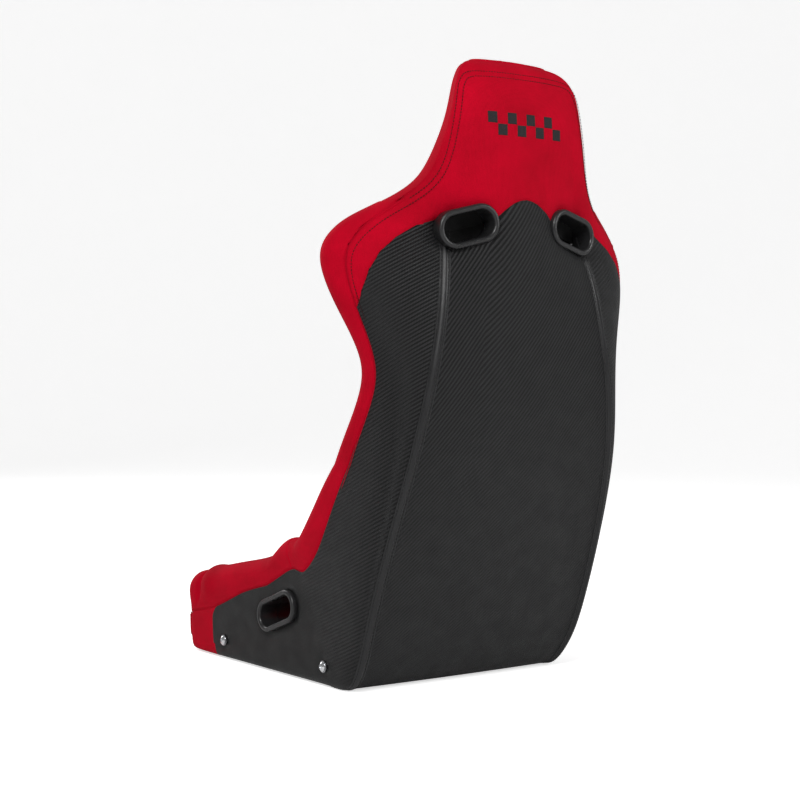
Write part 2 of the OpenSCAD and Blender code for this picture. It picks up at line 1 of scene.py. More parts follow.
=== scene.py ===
import bmesh
import bpy
import numpy as np
from mathutils import Euler, Matrix, Vector


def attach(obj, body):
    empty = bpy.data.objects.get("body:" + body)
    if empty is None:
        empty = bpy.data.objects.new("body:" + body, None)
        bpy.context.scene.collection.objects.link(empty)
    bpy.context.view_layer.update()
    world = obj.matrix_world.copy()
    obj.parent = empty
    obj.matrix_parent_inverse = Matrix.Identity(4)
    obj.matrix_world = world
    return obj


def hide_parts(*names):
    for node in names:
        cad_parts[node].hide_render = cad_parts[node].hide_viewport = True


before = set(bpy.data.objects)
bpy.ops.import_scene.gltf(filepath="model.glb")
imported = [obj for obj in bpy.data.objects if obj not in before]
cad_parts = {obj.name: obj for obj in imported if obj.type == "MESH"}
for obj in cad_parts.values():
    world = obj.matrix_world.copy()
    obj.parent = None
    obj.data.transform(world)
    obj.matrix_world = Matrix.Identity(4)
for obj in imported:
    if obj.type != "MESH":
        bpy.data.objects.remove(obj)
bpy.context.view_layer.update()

MM = 0.001

# ---- studio ---------------------------------------------------------------------------------
# A pale round floor that curves up into its own backdrop, three soft boxes and an even sky.
# The camera stands behind the seat, on its left, at half the seat's height.
scene = bpy.context.scene
camera = bpy.data.objects.new("studio_camera", bpy.data.cameras.new("studio_camera"))
camera.location = (1.5388, 2.1180, 0.470)
camera.rotation_euler = Euler(np.radians((90, 0, 144)))
camera.data.lens = 74.25
camera.data.shift_y = -0.04125
scene.collection.objects.link(camera)
scene.camera = camera


def add(tree, kind, values=None, **settings):
    """A shader node with its settings; a value is a number, a colour or another node's socket."""
    node = tree.nodes.new(kind)
    for key, value in settings.items():
        setattr(node, key, value)
    for key, value in (values or {}).items():
        if isinstance(value, bpy.types.NodeSocket):
            tree.links.new(value, node.inputs[key])
        else:
            node.inputs[key].default_value = value
    return node


def finish(name, **values):
    """A material with one Principled shader; returns the material, its tree and the shader."""
    made = bpy.data.materials.new(name)
    made.use_nodes = True
    tree = made.node_tree
    shader = next(n for n in tree.nodes if n.type == "BSDF_PRINCIPLED")
    for key, value in values.items():
        shader.inputs[key.replace("_", " ")].default_value = value
    return made, tree, shader


def paint(tree, shader, share, low, high):
    """Base colour: a mix from one colour to another by a share."""
    mix = add(tree, "ShaderNodeMix", {0: share, 6: (*low, 1), 7: (*high, 1)}, data_type="RGBA")
    tree.links.new(mix.outputs[2], shader.inputs["Base Color"])


def scaled_sum(tree, a, b, c=0.0):
    """The socket of a times b plus c."""
    return add(tree, "ShaderNodeMath", {0: a, 1: b, 2: c}, operation="MULTIPLY_ADD").outputs[0]


def spread(tree, value, low, high, start=0.0, end=1.0, kind="LINEAR"):
    """The socket of a range: low to high as the value goes from start to end."""
    return add(tree, "ShaderNodeMapRange", {"Value": value, "From Min": start, "From Max": end,
                                            "To Min": low, "To Max": high}, interpolation_type=kind).outputs[0]


def grid_faces(rows, columns, ring=False):
    """Quads between neighbouring points of a grid; a ring also joins the last column to the first."""
    index = np.arange(rows * columns).reshape(rows, columns)
    right = np.roll(index, -1, axis=1) if ring else index[:, 1:]
    left = index if ring else index[:, :-1]
    return np.stack([left[:-1], left[1:], right[1:], right[:-1]], -1).reshape(-1, 4)


def make_piece(name, points, faces, lay=None):
    """A smooth mesh object of these points and faces, without unused points. lay, two lengths for
    each point, becomes the UV map that a weave follows."""
    points = np.asarray(points, float).reshape(-1, 3)
    if isinstance(faces, np.ndarray):
        used, packed = np.unique(faces, return_inverse=True)
        faces = packed.reshape(faces.shape)
        points = points[used]
        lay = None if lay is None else np.asarray(lay, float).reshape(-1, 2)[used]
        faces = faces.tolist()
    mesh = bpy.data.meshes.new(name)
    mesh.from_pydata(points.tolist(), [], faces)
    if lay is not None:
        corner = np.empty(len(mesh.loops), np.int32)
        mesh.loops.foreach_get("vertex_index", corner)
        mesh.uv_layers.new(name="lay").data.foreach_set("uv", lay[corner].astype(np.float32).ravel())
    mesh.polygons.foreach_set("use_smooth", np.ones(len(mesh.polygons), bool))
    piece = bpy.data.objects.new(name, mesh)
    scene.collection.objects.link(piece)
    return piece


FLOOR_FLAT, FLOOR_CURVE, FLOOR_GAP, FLAT_RINGS, FLOOR_SIDES = 5.0, 5.0, 0.0006, 20, 96
turn = np.radians(np.linspace(0, 85, 18))[1:]
reach = np.concatenate([np.linspace(0.02, FLOOR_FLAT, FLAT_RINGS), FLOOR_FLAT + FLOOR_CURVE * np.sin(turn)])
rise = np.concatenate([np.zeros(FLAT_RINGS), FLOOR_CURVE * (1 - np.cos(turn))])
around = np.linspace(0, 2 * np.pi, FLOOR_SIDES, endpoint=False)
floor = make_piece("studio_floor", np.stack([
    reach[:, None] * np.cos(around), reach[:, None] * np.sin(around),
    np.repeat(rise[:, None] - FLOOR_GAP, FLOOR_SIDES, 1)], -1), grid_faces(len(reach), FLOOR_SIDES, ring=True))
floor_paint, tree, shader = finish("studio_paint", Roughness=0.9, Specular_IOR_Level=0.1)
speck = add(tree, "ShaderNodeTexNoise", {"Scale": 3.0, "Vector": add(tree, "ShaderNodeTexCoord").outputs["Object"]})
paint(tree, shader, speck.outputs["Fac"], (0.90, 0.90, 0.90), (0.93, 0.93, 0.93))
shader.inputs["Emission Color"].default_value = (1, 1, 1, 1)
glow = scaled_sum(tree, add(tree, "ShaderNodeLightPath").outputs["Is Camera Ray"], 0.62)
tree.links.new(glow, shader.inputs["Emission Strength"])
floor.data.materials.append(floor_paint)

air = bpy.data.worlds.new("studio_air")
scene.world = air
air.use_nodes = True
air.node_tree.nodes["Background"].inputs["Color"].default_value = (1, 1, 1, 1)
air.node_tree.nodes["Background"].inputs["Strength"].default_value = 0.26
scene.view_settings.view_transform = "Standard"
for name, place, size, power in (
        ("key_box", (2.4, 1.9, 2.7), 1.4, 90), ("fill_box", (-2.0, 2.7, 1.6), 1.0, 40),
        ("front_box", (0.6, -3.4, 2.4), 2.2, 55)):
    lamp = bpy.data.objects.new(name, bpy.data.lights.new(name, "AREA"))
    lamp.data.energy = power
    lamp.data.size = size
    lamp.location = place
    lamp.rotation_euler = (Vector((0, 0, 0.45)) - Vector(place)).to_track_quat("-Z", "Y").to_euler()
    scene.collection.objects.link(lamp)

# ---- rear centre panel ----------------------------------------------------------------------
# One piece of black woven-look vinyl, bonded to the composite bucket's back between its two
# ridges. It peaks between the belt slots, and its edges are turned under.
# Each row of the bucket's form: rear skin y, z; ridge x, depth; corner x, depth; wall edge x,
# depth; how tightly the wall follows its corner; share of the wall that is black; foot of the
# bolster's inner face x, depth; depth of the pad's face. Millimetres.
FORM = np.array([
    (-318, 8, 180, 1, 196, 2, 197, 74, 3.0, .900, 156, 14, 78),
    (-308, 2, 188, 1, 205, 2, 205, 94, 3.5, .920, 154, 12, 80),
    (-292, 0, 191, 1, 208, 2, 209, 105, 4.0, .930, 153, 12, 82),
    (-226, 0, 192, 1, 208, 2, 210, 120, 4.0, .938, 152, 12, 82),
    (-140, 0, 192, 1, 208, 2, 211, 137, 4.0, .975, 152, 12, 78),
    (-60, 0, 192, 1, 208, 2, 212, 154, 4.0, .979, 152, 12, 75),
    (30, 0, 192, 1, 208, 2, 213, 186, 4.0, .980, 152, 14, 72),
    (100, 0, 191, 1, 208, 2, 214, 209, 3.8, .984, 150, 30, 70),
    (140, 0, 190, 1, 210, 2, 215, 219, 3.4, .979, 146, 48, 70),
    (165, 20, 192, 2, 212, 3, 217, 215, 3.0, .972, 142, 56, 70),
    (190, 57, 197, 3, 214, 4, 219, 202, 2.6, .963, 138, 58, 70),
    (215, 118, 199, 4, 217, 6, 221, 178, 2.3, .950, 134, 56, 68),
    (242, 190, 197, 5, 218, 7, 222, 158, 2.1, .948, 131, 54, 66),
    (268, 262, 192, 6, 218, 9, 222, 147, 1.9, .943, 128, 52, 64),
    (292, 340, 183, 7, 217, 12, 221, 134, 1.6, .930, 126, 52, 63),
    (304, 400, 174, 7, 214, 16, 219, 106, 1.3, .905, 126, 51, 62),
    (311, 445, 166, 8, 211, 20, 218, 91, 1.2, .885, 128, 50, 61),
    (314, 480, 160, 9, 214, 23, 223, 88, 1.1, .880, 130, 51, 61),
    (316, 520, 152, 11, 222, 27, 238, 93, 1.0, .870, 135, 52, 61),
    (318, 570, 144, 16, 234, 34, 260, 104, 1.0, .860, 142, 56, 62),
    (318, 612, 136, 24, 240, 42, 271, 112, 1.0, .840, 146, 72, 76),
    (317, 640, 129, 32, 235, 46, 268, 112, 1.0, .810, 144, 82, 86),
    (315, 662, 123, 36, 223, 48, 254, 105, 1.0, .760, 134, 86, 90),
    (313, 682, 117, 32, 205, 44, 231, 95, 1.0, .730, 118, 86, 90),
    (311, 702, 111, 24, 181, 34, 195, 82, 1.1, .700, 100, 84, 88),
    (310, 724, 105, 16, 158, 22, 162, 66, 1.3, .700, 84, 78, 84),
    (309, 750, 100, 11, 142, 14, 141, 53, 1.5, .700, 72, 71, 80),
    (309, 790, 96, 8, 132, 11, 128, 38, 1.6, .700, 66, 60, 73),
    (308, 830, 92, 7, 124, 10, 117, 29, 1.6, .700, 60, 52, 67),
    (303, 868, 88, 7, 118, 9, 108, 24, 1.6, .700, 54, 46, 58),
    (296, 890, 80, 7, 108, 9, 97, 21, 1.6, .700, 44, 40, 50),
    (286, 903, 68, 6, 94, 8, 83, 19, 1.6, .700, 32, 35, 42),
    (276, 909, 53, 5, 76, 7, 67, 16, 1.6, .700, 22, 28, 34)])
HIP_ROW, PAD_ROW, NECK_ROW, TOP_ROW = 7, 9, 24, 32
HUB_Y, HUB_Z, RIM = -60, 330, 24
RIDGE, BLACK_EDGE, WALL_EDGE, ROLLED, FOOT = 1, 2, 3, 4, 5  # stations round a section


def form_at(row):
    """The form's row values at a fractional row: a cubic B-spline whose control rows are the
    table's rows, each pushed out by a part of its second difference so the curve meets it."""
    bend = np.zeros_like(FORM)
    bend[1:-1] = FORM[:-2] - 2 * FORM[1:-1] + FORM[2:]
    held = FORM - 0.12 * bend
    held = np.vstack([2 * held[0] - held[1], held, 2 * held[-1] - held[-2]])
    low = np.clip(np.floor(row).astype(int), 0, TOP_ROW - 1)
    f = (row - low)[..., None]
    weights = ((1 - f) ** 3, 3 * f ** 3 - 6 * f ** 2 + 4, -3 * f ** 3 + 3 * f ** 2 + 3 * f + 1, f ** 3)
    return sum(w * held[low + k] for k, w in enumerate(weights)) / 6


def outline(values, v):
    """Distance x from the middle and depth d at station v of a section. 0 to 1: a shallow parabola
    to the ridge. 1 to 3: a weighted conic from the ridge, pulled to the corner, to the wall's edge.
    3 to 4: a half circle inwards. 4 to 5: a cubic down to the foot. 5 to 6: a sine over the pad."""
    _, _, rx, rd, sx, sd, bx, bd, w, red, fx, fd, pd = np.moveaxis(values, -1, 0)
    u = np.clip(v, 0, 1)
    t = np.clip(np.where(v < BLACK_EDGE, red * (v - 1), red + (1 - red) * (v - 2)), 0, 1)
    p, q, r = (1 - t) ** 2, 2 * w * t * (1 - t), t * t
    wall = [(p * a + q * b + r * c) / (p + q + r) for a, b, c in ((rx, sx, bx), (rd, sd, bd))]
    out, back = np.maximum(0, bx - sx), bd - sd
    size = np.hypot(out, back)
    out, back = out / size, back / size
    rim = np.minimum(RIM, (bx - fx) / 2 - 1)
    angle = np.pi * np.clip(v - 3, 0, 1)
    cx, cd = bx - rim * back, bd + rim * out
    arc = [cx + rim * (back * np.cos(angle) + out * np.sin(angle)),
           cd + rim * (back * np.sin(angle) - out * np.cos(angle))]
    ex, ed = cx - rim * back, cd + rim * out
    drop = 0.35 * np.hypot(ex - fx, ed - fd)
    k = np.clip(v - 4, 0, 1)
    inner = [(1 - k) ** 3 * a + 3 * k * (1 - k) ** 2 * b + 3 * k * k * (1 - k) * c + k ** 3 * d
             for a, b, c, d in ((ex, ex - out * drop, fx + 6, fx), (ed, ed - back * drop, fd + 8, fd))]
    g = np.clip(v - 5, 0, 1)
    face = [fx * (1 - g), fd + (pd - fd) * np.sin(np.pi / 2 * g)]
    zones = [v <= RIDGE, v <= WALL_EDGE, v <= ROLLED, v <= FOOT]
    return [np.select(zones, [a, b, c, d], e) for a, b, c, d, e in
            zip((rx * u, rd * u * u), wall, arc, inner, face)]


def form_point(row, v, depth=0.0):
    """Points on the seat's form, in metres, v below 0 on its right: each section's plane points
    from the rear skin at the hub line, straight up under the pan and straight ahead behind the back."""
    row, v = np.broadcast_arrays(np.asarray(row, float), np.asarray(v, float))
    values = form_at(row)
    x, d = outline(values, np.abs(v))
    ahead = np.stack([np.minimum(0, HUB_Y - values[..., 0]), np.maximum(0, HUB_Z - values[..., 1])], -1)
    ahead /= np.linalg.norm(ahead, axis=-1, keepdims=True)
    d = d + depth
    return MM * np.stack([np.sign(v) * x, values[..., 0] + ahead[..., 0] * d,
                          values[..., 1] + ahead[..., 1] * d], -1)


def outward(points):
    """Unit normals of a grid of points: its row step crossed with its column step."""
    normal = np.cross(np.gradient(points, axis=0), np.gradient(points, axis=1))
    return normal / np.maximum(np.linalg.norm(normal, axis=-1, keepdims=True), 1e-12)


def run_length(points, axis):
    """Length along a grid's axis from its first point to each point."""
    step = np.linalg.norm(np.diff(points, axis=axis), axis=-1)
    return np.concatenate([np.zeros_like(np.take(step, [0], axis)), np.cumsum(step, axis)], axis)


def crowded(count):
    """Shares from 0 to 1, crowded towards both ends as the cosine is, for turned edges."""
    return 0.5 - 0.5 * np.cos(np.linspace(0, np.pi, count))


def turned_edge(points, width, drop, sides="lrbt"):
    """How far each point of a grid sinks in a turned edge: a quarter circle of that width down to
    that drop at the sides named: left and right columns, bottom and top rows."""
    across, along = run_length(points, 1), run_length(points, 0)
    gaps = {"l": across, "r": across[:, -1:] - across, "b": along, "t": along[-1:] - along}
    q = np.clip(1 - np.minimum.reduce([gaps[s] for s in sides]) / width, 0, 1)
    return drop * (1 - np.sqrt(1 - q * q))


def lay_on_form(rows, v):
    """Lengths on the form at each row and station, for a weave that follows the piece: across from
    the first column by summed station steps, and up from the first row by summed row steps."""
    rows, v = np.broadcast_arrays(rows, v)
    here = form_point(rows, v)
    per_v = np.linalg.norm(form_point(rows, v + 1e-3) - here, axis=-1) / 1e-3
    per_row = np.linalg.norm(form_point(rows + 1e-2, v) - here, axis=-1) / 1e-2
    across = np.cumsum(per_v * np.gradient(v, axis=1), 1)
    up = np.cumsum(per_row * np.gradient(rows, axis=0), 0)
    return np.stack([across - across[:, :1], up], -1)


def slot_frame(place, turn, mirrored=False):
    """Matrix of a belt slot's own axes: X along the slot, Z out of the cover; mirrored for the right."""
    turned = Matrix.Identity(4)
    for axis, degrees in turn:
        turned = turned @ Matrix.Rotation(np.radians(degrees), 4, axis)
    made = Matrix.Translation(Vector(place) * MM) @ turned
    return np.array(Matrix.Diagonal((-1, 1, 1, 1)) @ made if mirrored else made)


SHOULDER_OPEN, SHOULDER_STRAIGHT = 39, 42
LAP_OPEN, LAP_STRAIGHT = 34, 58
LIP = 8.5
shoulder_rear = [slot_frame((96, 292, 668), (("Z", -10), ("X", -90), ("Z", 14)), m) for m in (False, True)]
shoulder_front = [slot_frame((108, 227, 668), (("X", 90), ("Z", -14)), m) for m in (False, True)]
lap_outer = [slot_frame((209, -28, 98), (("Y", 90), ("Z", 110)), m) for m in (False, True)]


def slot_gap(points, at, straight):
    """Nearest point of a slot's middle line, offset from it, and height, in the slot's own axes."""
    local = (points - at[:3, 3]) @ at[:3, :3]
    nearest = np.clip(local[..., 0], -straight * MM / 2, straight * MM / 2)
    return nearest, np.stack([local[..., 0] - nearest, local[..., 1]], -1), local[..., 2]


def open_slot(points, at, open_width, straight, reach=40):
    """Moves the points inside a slot out to under its bezel's lip, sinks the ones beside it a
    little, and returns the points and which of them lay inside."""
    nearest, gap, height = slot_gap(points, at, straight)
    far = np.linalg.norm(gap, axis=-1)
    rim = (open_width / 2 + 5) * MM
    inside = (far < rim) & (np.abs(height) < reach * MM)
    to_rim = gap * (rim / np.maximum(far, 1e-9))[..., None]
    beside = 2.6 * MM * np.exp(-(np.maximum(far - rim, 0) / (9 * MM)) ** 2)
    sunk = height - np.where(np.abs(height) < reach * MM, beside, 0)
    local = np.where(inside[..., None], np.concatenate([to_rim, sunk[..., None]], -1),
                     np.concatenate([gap, sunk[..., None]], -1))
    local[..., 0] += nearest
    return local @ at[:3, :3].T + at[:3, 3], inside


def give_wall(piece, thick, offset=-1):
    """Thickness in millimetres, by a live Solidify."""
    wall = piece.modifiers.new("wall", "SOLIDIFY")
    wall.thickness, wall.offset = thick * MM, offset


def mend(piece, apart=2e-5, turn_out=False):
    """Merges points closer than apart, and turns the faces of a closed piece outwards if asked."""
    shell = bmesh.new()
    shell.from_mesh(piece.data)
    bmesh.ops.remove_doubles(shell, verts=shell.verts, dist=apart)
    if turn_out:
        bmesh.ops.recalc_face_normals(shell, faces=shell.faces)
    shell.to_mesh(piece.data)
    shell.free()


def cover_piece(name, points, normals, sink, slots, thick, lay=None, ring=False):
    """A cover: the grid sunk by sink along its normals, opened at the slots, with a wall. A ring's
    last column joins its first, and its ends and poles are merged."""
    shaped = points - normals * np.asarray(sink)[..., None]
    inside = np.zeros(points.shape[:2], bool)
    for slot in slots:
        shaped, cut = open_slot(shaped, *slot)
        inside |= cut
    faces = grid_faces(*points.shape[:2], ring=ring)
    piece = make_piece(name, shaped, faces[~inside.ravel()[faces].all(1)], lay)
    if ring:
        mend(piece)
    give_wall(piece, thick)
    return piece


def sheet_piece(name, points, sink, lay=None, slots=(), thick=2.4):
    """A sewn cover with open edges."""
    return cover_piece(name, points, outward(points), sink, slots, thick, lay)


def dress(piece, body, material, slot, *replaced):
    """A piece's material, the body it rides and the nodes it replaces; the slot argument is not used."""
    piece.data.materials.append(material)
    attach(piece, body)
    if replaced:
        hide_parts(*replaced)


def mirrored(points):
    """The same grid on the seat's right, its columns reversed so that it still faces outwards."""
    return points[:, ::-1] * (-1, 1, 1)


PEAK_Z, SLOT_Z = 709, 672
arch = np.linspace(0, 1, 24)
BORDER = np.vstack([np.stack([62 * arch, SLOT_Z + (PEAK_Z - SLOT_Z) * np.cos(np.pi / 2 * arch)], -1),
                    [(96, 672), (140, 676), (168, 668), (198, 651), (222, 630), (237, 604), (244, 576), (246, 532)]])


def black_top(v):
    """The row where each station's column meets the black covers' upper border."""
    rows = np.linspace(17, 24.4, 297)
    points = form_point(rows[:, None], v[None, :]) / MM
    above = points[..., 2] > np.interp(np.abs(points[..., 0]), BORDER[:, 0], BORDER[:, 1], right=540)
    above[-1] = True
    return rows[above.argmax(0)]


panel_v = np.sin(np.linspace(-np.pi / 2, np.pi / 2, 81)) * 0.985
centre_rows = HIP_ROW + 0.02 + (black_top(panel_v) - HIP_ROW - 0.02) * crowded(190)[:, None]
centre_points = form_point(centre_rows, panel_v[None, :])
centre_sink = turned_edge(centre_points, 3.5 * MM, 1.8 * MM)


def node_group(name, inputs, outputs):
    """An empty shader node group with these sockets, and its input and output nodes."""
    group = bpy.data.node_groups.new(name, "ShaderNodeTree")
    for way, sockets in (("INPUT", inputs), ("OUTPUT", outputs)):
        for socket, kind in sockets:
            group.interface.new_socket(socket, in_out=way, socket_type="NodeSocket" + kind)
    return group, group.nodes.new("NodeGroupInput"), group.nodes.new("NodeGroupOutput")


def twill_group():
    """Height and top-yarn mask of a two-by-two twill: yarns cross in cells, the upright yarn lies
    on top where the cell numbers' sum, divided by four, leaves less than two, and each is round."""
    group, given, result = node_group(
        "twill_weave", (("Lay", "Vector"), ("Yarns per metre", "Float"), ("Turn", "Float")),
        (("Height", "Float"), ("Upright", "Float")))

    def math(operation, a, b=0.0):
        return add(group, "ShaderNodeMath", {0: a, 1: b}, operation=operation).outputs[0]

    turned = add(group, "ShaderNodeVectorRotate", {"Vector": given.outputs["Lay"], "Angle": given.outputs["Turn"]},
                 rotation_type="Z_AXIS")
    scaled = add(group, "ShaderNodeVectorMath", {0: turned.outputs[0], "Scale": given.outputs["Yarns per metre"]},
                 operation="SCALE")
    axes = add(group, "ShaderNodeSeparateXYZ", {0: scaled.outputs[0]})
    cell = math("ADD", math("FLOOR", axes.outputs[0]), math("FLOOR", axes.outputs[1]))
    upright = math("LESS_THAN", math("FLOORED_MODULO", cell, 4.0), 2.0)
    rounds = []
    for axis in (0, 1):
        part = math("FRACT", axes.outputs[axis])
        rounds.append(math("MULTIPLY", math("MULTIPLY", part, math("SUBTRACT", 1.0, part)), 4.0))
    height = add(group, "ShaderNodeMix", {0: upright, 2: rounds[1], 3: rounds[0]}, data_type="FLOAT")
    group.links.new(height.outputs[0], result.inputs["Height"])
    group.links.new(upright, result.inputs["Upright"])
    return group


def grain_group():
    """Fine pebble height and a broad patchy mask, for vinyl, plastic and cast parts: cell
    distance at the pebble size, and soft noise at about forty pebbles."""
    group, given, result = node_group("pebble_grain", (("Pebbles per metre", "Float"), ("Depth", "Float")),
                                      (("Height", "Float"), ("Patches", "Float")))
    place = add(group, "ShaderNodeTexCoord").outputs["Object"]
    pebble = add(group, "ShaderNodeTexVoronoi", {"Vector": place, "Scale": given.outputs[0]})
    patch = add(group, "ShaderNodeTexNoise", {"Vector": place, "Scale": scaled_sum(group, given.outputs[0], 0.025),
                                              "Detail": 3.0})
    group.links.new(scaled_sum(group, pebble.outputs["Distance"], given.outputs[1]), result.inputs["Height"])
    group.links.new(patch.outputs["Fac"], result.inputs["Patches"])
    return group


TWILL, GRAIN = twill_group(), grain_group()


def raised(tree, shader, height, strength, distance):
    """Bump of a height socket, into the shader's normal."""
    bump = add(tree, "ShaderNodeBump", {"Strength": strength, "Distance": distance, "Height": height})
    tree.links.new(bump.outputs[0], shader.inputs["Normal"])


# Painted shade: the band, low down and forward, where the weave fades out to plain dark.
YARNS, SHADE_FADE_FROM, SHADE_FADE_TO = 590.0, 0.12, 0.22


def woven_vinyl(name, turn_degrees):
    """Black woven-look vinyl: twill relief, yarns that differ in tone and gloss, and painted shade low
    down and forward, where height plus 0.7 of the place along the seat is small: there the lighter
    yarns and the relief fade out to plain dark."""
    made, tree, shader = finish(name, Specular_IOR_Level=0.22)
    lay = add(tree, "ShaderNodeUVMap", uv_map="lay")
    weave = add(tree, "ShaderNodeGroup", node_tree=TWILL)
    tree.links.new(lay.outputs[0], weave.inputs["Lay"])
    weave.inputs["Yarns per metre"].default_value = YARNS
    weave.inputs["Turn"].default_value = np.radians(turn_degrees)
    grain = add(tree, "ShaderNodeGroup", {0: 1500.0, 1: 0.6}, node_tree=GRAIN)
    place = add(tree, "ShaderNodeTexCoord")
    spot = add(tree, "ShaderNodeSeparateXYZ", {0: place.outputs["Object"]})
    slant = scaled_sum(tree, spot.outputs[2], 0.7, spot.outputs[1])
    # Painted shade: low down and forward the weave's lighter yarns and its relief fade to plain dark.
    painted_shade_fade = spread(tree, slant, 0.10, 1.0, SHADE_FADE_FROM, SHADE_FADE_TO, "SMOOTHSTEP")
    tone = scaled_sum(tree, weave.outputs["Upright"], painted_shade_fade)
    paint(tree, shader, tone, (0.0012, 0.0012, 0.0013), (0.022, 0.022, 0.023))
    gloss = spread(tree, grain.outputs["Patches"], 0.36, 0.48, 0.3, 0.7)
    tree.links.new(scaled_sum(tree, tone, 0.10, gloss), shader.inputs["Roughness"])
    relief = scaled_sum(tree, weave.outputs["Height"], painted_shade_fade)
    raised(tree, shader, scaled_sum(tree, grain.outputs["Height"], 0.25, relief), 0.8, 0.0007)
    return made


centre_panel = sheet_piece("rear_centre_panel_vinyl", centre_points, centre_sink,
                           lay_on_form(centre_rows, panel_v[None, :]),
                           [(at, SHOULDER_OPEN, SHOULDER_STRAIGHT) for at in shoulder_rear])
dress(centre_panel, "seat", woven_vinyl("centre_woven_vinyl", 1), "black_vinyl", "rear_centre_panel")

# ---- rear side panels -----------------------------------------------------------------------
# Two pieces of the same vinyl, cut on another bias, from the ridges round the bucket's sides to
# the red bolsters. The mount washers press into them and the lap-belt slots pass through.
SCREW_YS, SCREW_Z, SCREW_X = (-193, 97), 31, 209


def pressed(points, at, radius, depth):
    """Sink of a shallow dish that a washer presses: full inside its radius, then fading as a bell."""
    far = np.linalg.norm(points - np.array(at) * MM, axis=-1)
    return depth * MM * np.exp(-(np.maximum(far - radius * MM, 0) / (5 * MM)) ** 2)


side_v = 1.012 + 0.988 * crowded(96)
corner = np.clip((side_v - 1.955) / 0.045, 0, 1)
side_start = 2.9 + 0.22 * (1 - np.sqrt(1 - corner ** 2))
side_rows = side_start + (black_top(side_v) - side_start) * crowded(230)[:, None]
side_points = form_point(side_rows, side_v[None, :])
# The weave's lengths are taken on an upright plane across the seat's rear corner: along it and up.
side_lay = np.stack([(side_points[..., 0] - side_points[..., 1]) * np.sqrt(0.5), side_points[..., 2]], -1)
side_sink = turned_edge(side_points, 3.5 * MM, 1.8 * MM)
for y in SCREW_YS:
    side_sink = np.maximum(side_sink, pressed(side_points, (SCREW_X, y, SCREW_Z), 8, 0.8))
for k, side in enumerate(("left", "right")):
    points = side_points if k == 0 else mirrored(side_points)
    sink = side_sink if k == 0 else side_sink[:, ::-1]
    lay = side_lay if k == 0 else side_lay[:, ::-1] * (-1, 1)
    slots = [(shoulder_rear[k], SHOULDER_OPEN, SHOULDER_STRAIGHT), (lap_outer[k], LAP_OPEN, LAP_STRAIGHT)]
    side_panel = sheet_piece("rear_side_panel_vinyl_" + side, points, sink, lay, slots)
    dress(side_panel, "seat", woven_vinyl("side_woven_vinyl_" + side, -15), "black_vinyl", "rear_side_panel_" + side)

# ---- ridge piping ---------------------------------------------------------------------------
# A strip of plain black vinyl down each ridge, over the seam of centre and side panels, with a
# round cord sewn into it and a row of stitches on each side of the cord.
BAND_HALF, CORD_RISE, CORD_SPREAD, STITCH_AT, THREAD_RADIUS = 8.5, 2.3, 2.4, 5.6, 0.55


def plain_vinyl(name, low=(0.004, 0.004, 0.0045), high=(0.012, 0.012, 0.013), gloss=(0.36, 0.48), pebbles=900.0):
    """Plain black vinyl or moulded plastic with a fine pebble and patchy gloss."""
    made, tree, shader = finish(name, Specular_IOR_Level=0.4)
    grain = add(tree, "ShaderNodeGroup", {0: pebbles, 1: 1.0}, node_tree=GRAIN)
    paint(tree, shader, grain.outputs["Patches"], low, high)
    tree.links.new(spread(tree, grain.outputs["Patches"], *gloss, 0.3, 0.7), shader.inputs["Roughness"])
    raised(tree, shader, grain.outputs["Height"], 0.3, 0.0004)
    return made


def ease(value, low, high):
    """0 below low, 1 above high, and a smooth step between."""
    t = np.clip((value - low) / (high - low), 0, 1)
    return t * t * (3 - 2 * t)


def band_lines(rows, offsets):
    """Points at these distances across the ridge, measured along the surface, for every row."""
    fine = np.linspace(0.85, 1.5, 320)
    surface = form_point(rows[:, None], fine[None, :])
    across = run_length(surface, 1)
    across -= np.array([np.interp(1, fine, a) for a in across])[:, None]
    return np.stack([np.stack([np.interp(offsets * MM, a, s[:, k]) for k in range(3)], -1)
                     for a, s in zip(across, surface)])


def thread_piece(name, runs, pitch=5.2, length=4.2):
    """A row of stitches: along each run of points with normals, capsules of six sides and five
    rings, thin and sunk at both ends, as one mesh."""
    points, faces = [], []
    share = np.array([0, 0.12, 0.5, 0.88, 1])
    girth = np.array([0.35, 0.9, 1, 0.9, 0.35]) * THREAD_RADIUS * MM
    rise = np.array([-0.7, 0.25, 0.6, 0.25, -0.7]) * THREAD_RADIUS * MM
    spin = np.linspace(0, 2 * np.pi, 6, endpoint=False)
    for line, normal in runs:
        total = run_length(line, 0)
        starts = np.arange(pitch * MM, total[-1] - pitch * MM, pitch * MM)
        where = starts[:, None] + share * length * MM
        centre = np.stack([np.interp(where, total, line[:, k]) for k in range(3)], -1)
        up = np.stack([np.interp(where, total, normal[:, k]) for k in range(3)], -1)
        up /= np.linalg.norm(up, axis=-1, keepdims=True)
        ahead = np.gradient(centre, axis=1)
        side = np.cross(up, ahead)
        side /= np.linalg.norm(side, axis=-1, keepdims=True)
        ring = (centre + up * rise[:, None])[:, :, None] + girth[:, None, None] * (
            up[:, :, None] * np.cos(spin)[:, None] + side[:, :, None] * np.sin(spin)[:, None])
        base = sum(len(p) for p in points)
        index = base + np.arange(ring[..., 0].size).reshape(ring.shape[:3])
        turned = np.roll(index, -1, axis=2)
        quads = np.stack([index[:, :-1], turned[:, :-1], turned[:, 1:], index[:, 1:]], -1).reshape(-1, 4)
        faces += quads.tolist() + index[:, 0, ::-1].tolist() + index[:, -1].tolist()
        points.append(ring.reshape(-1, 3))
    return make_piece(name, np.concatenate(points), faces)


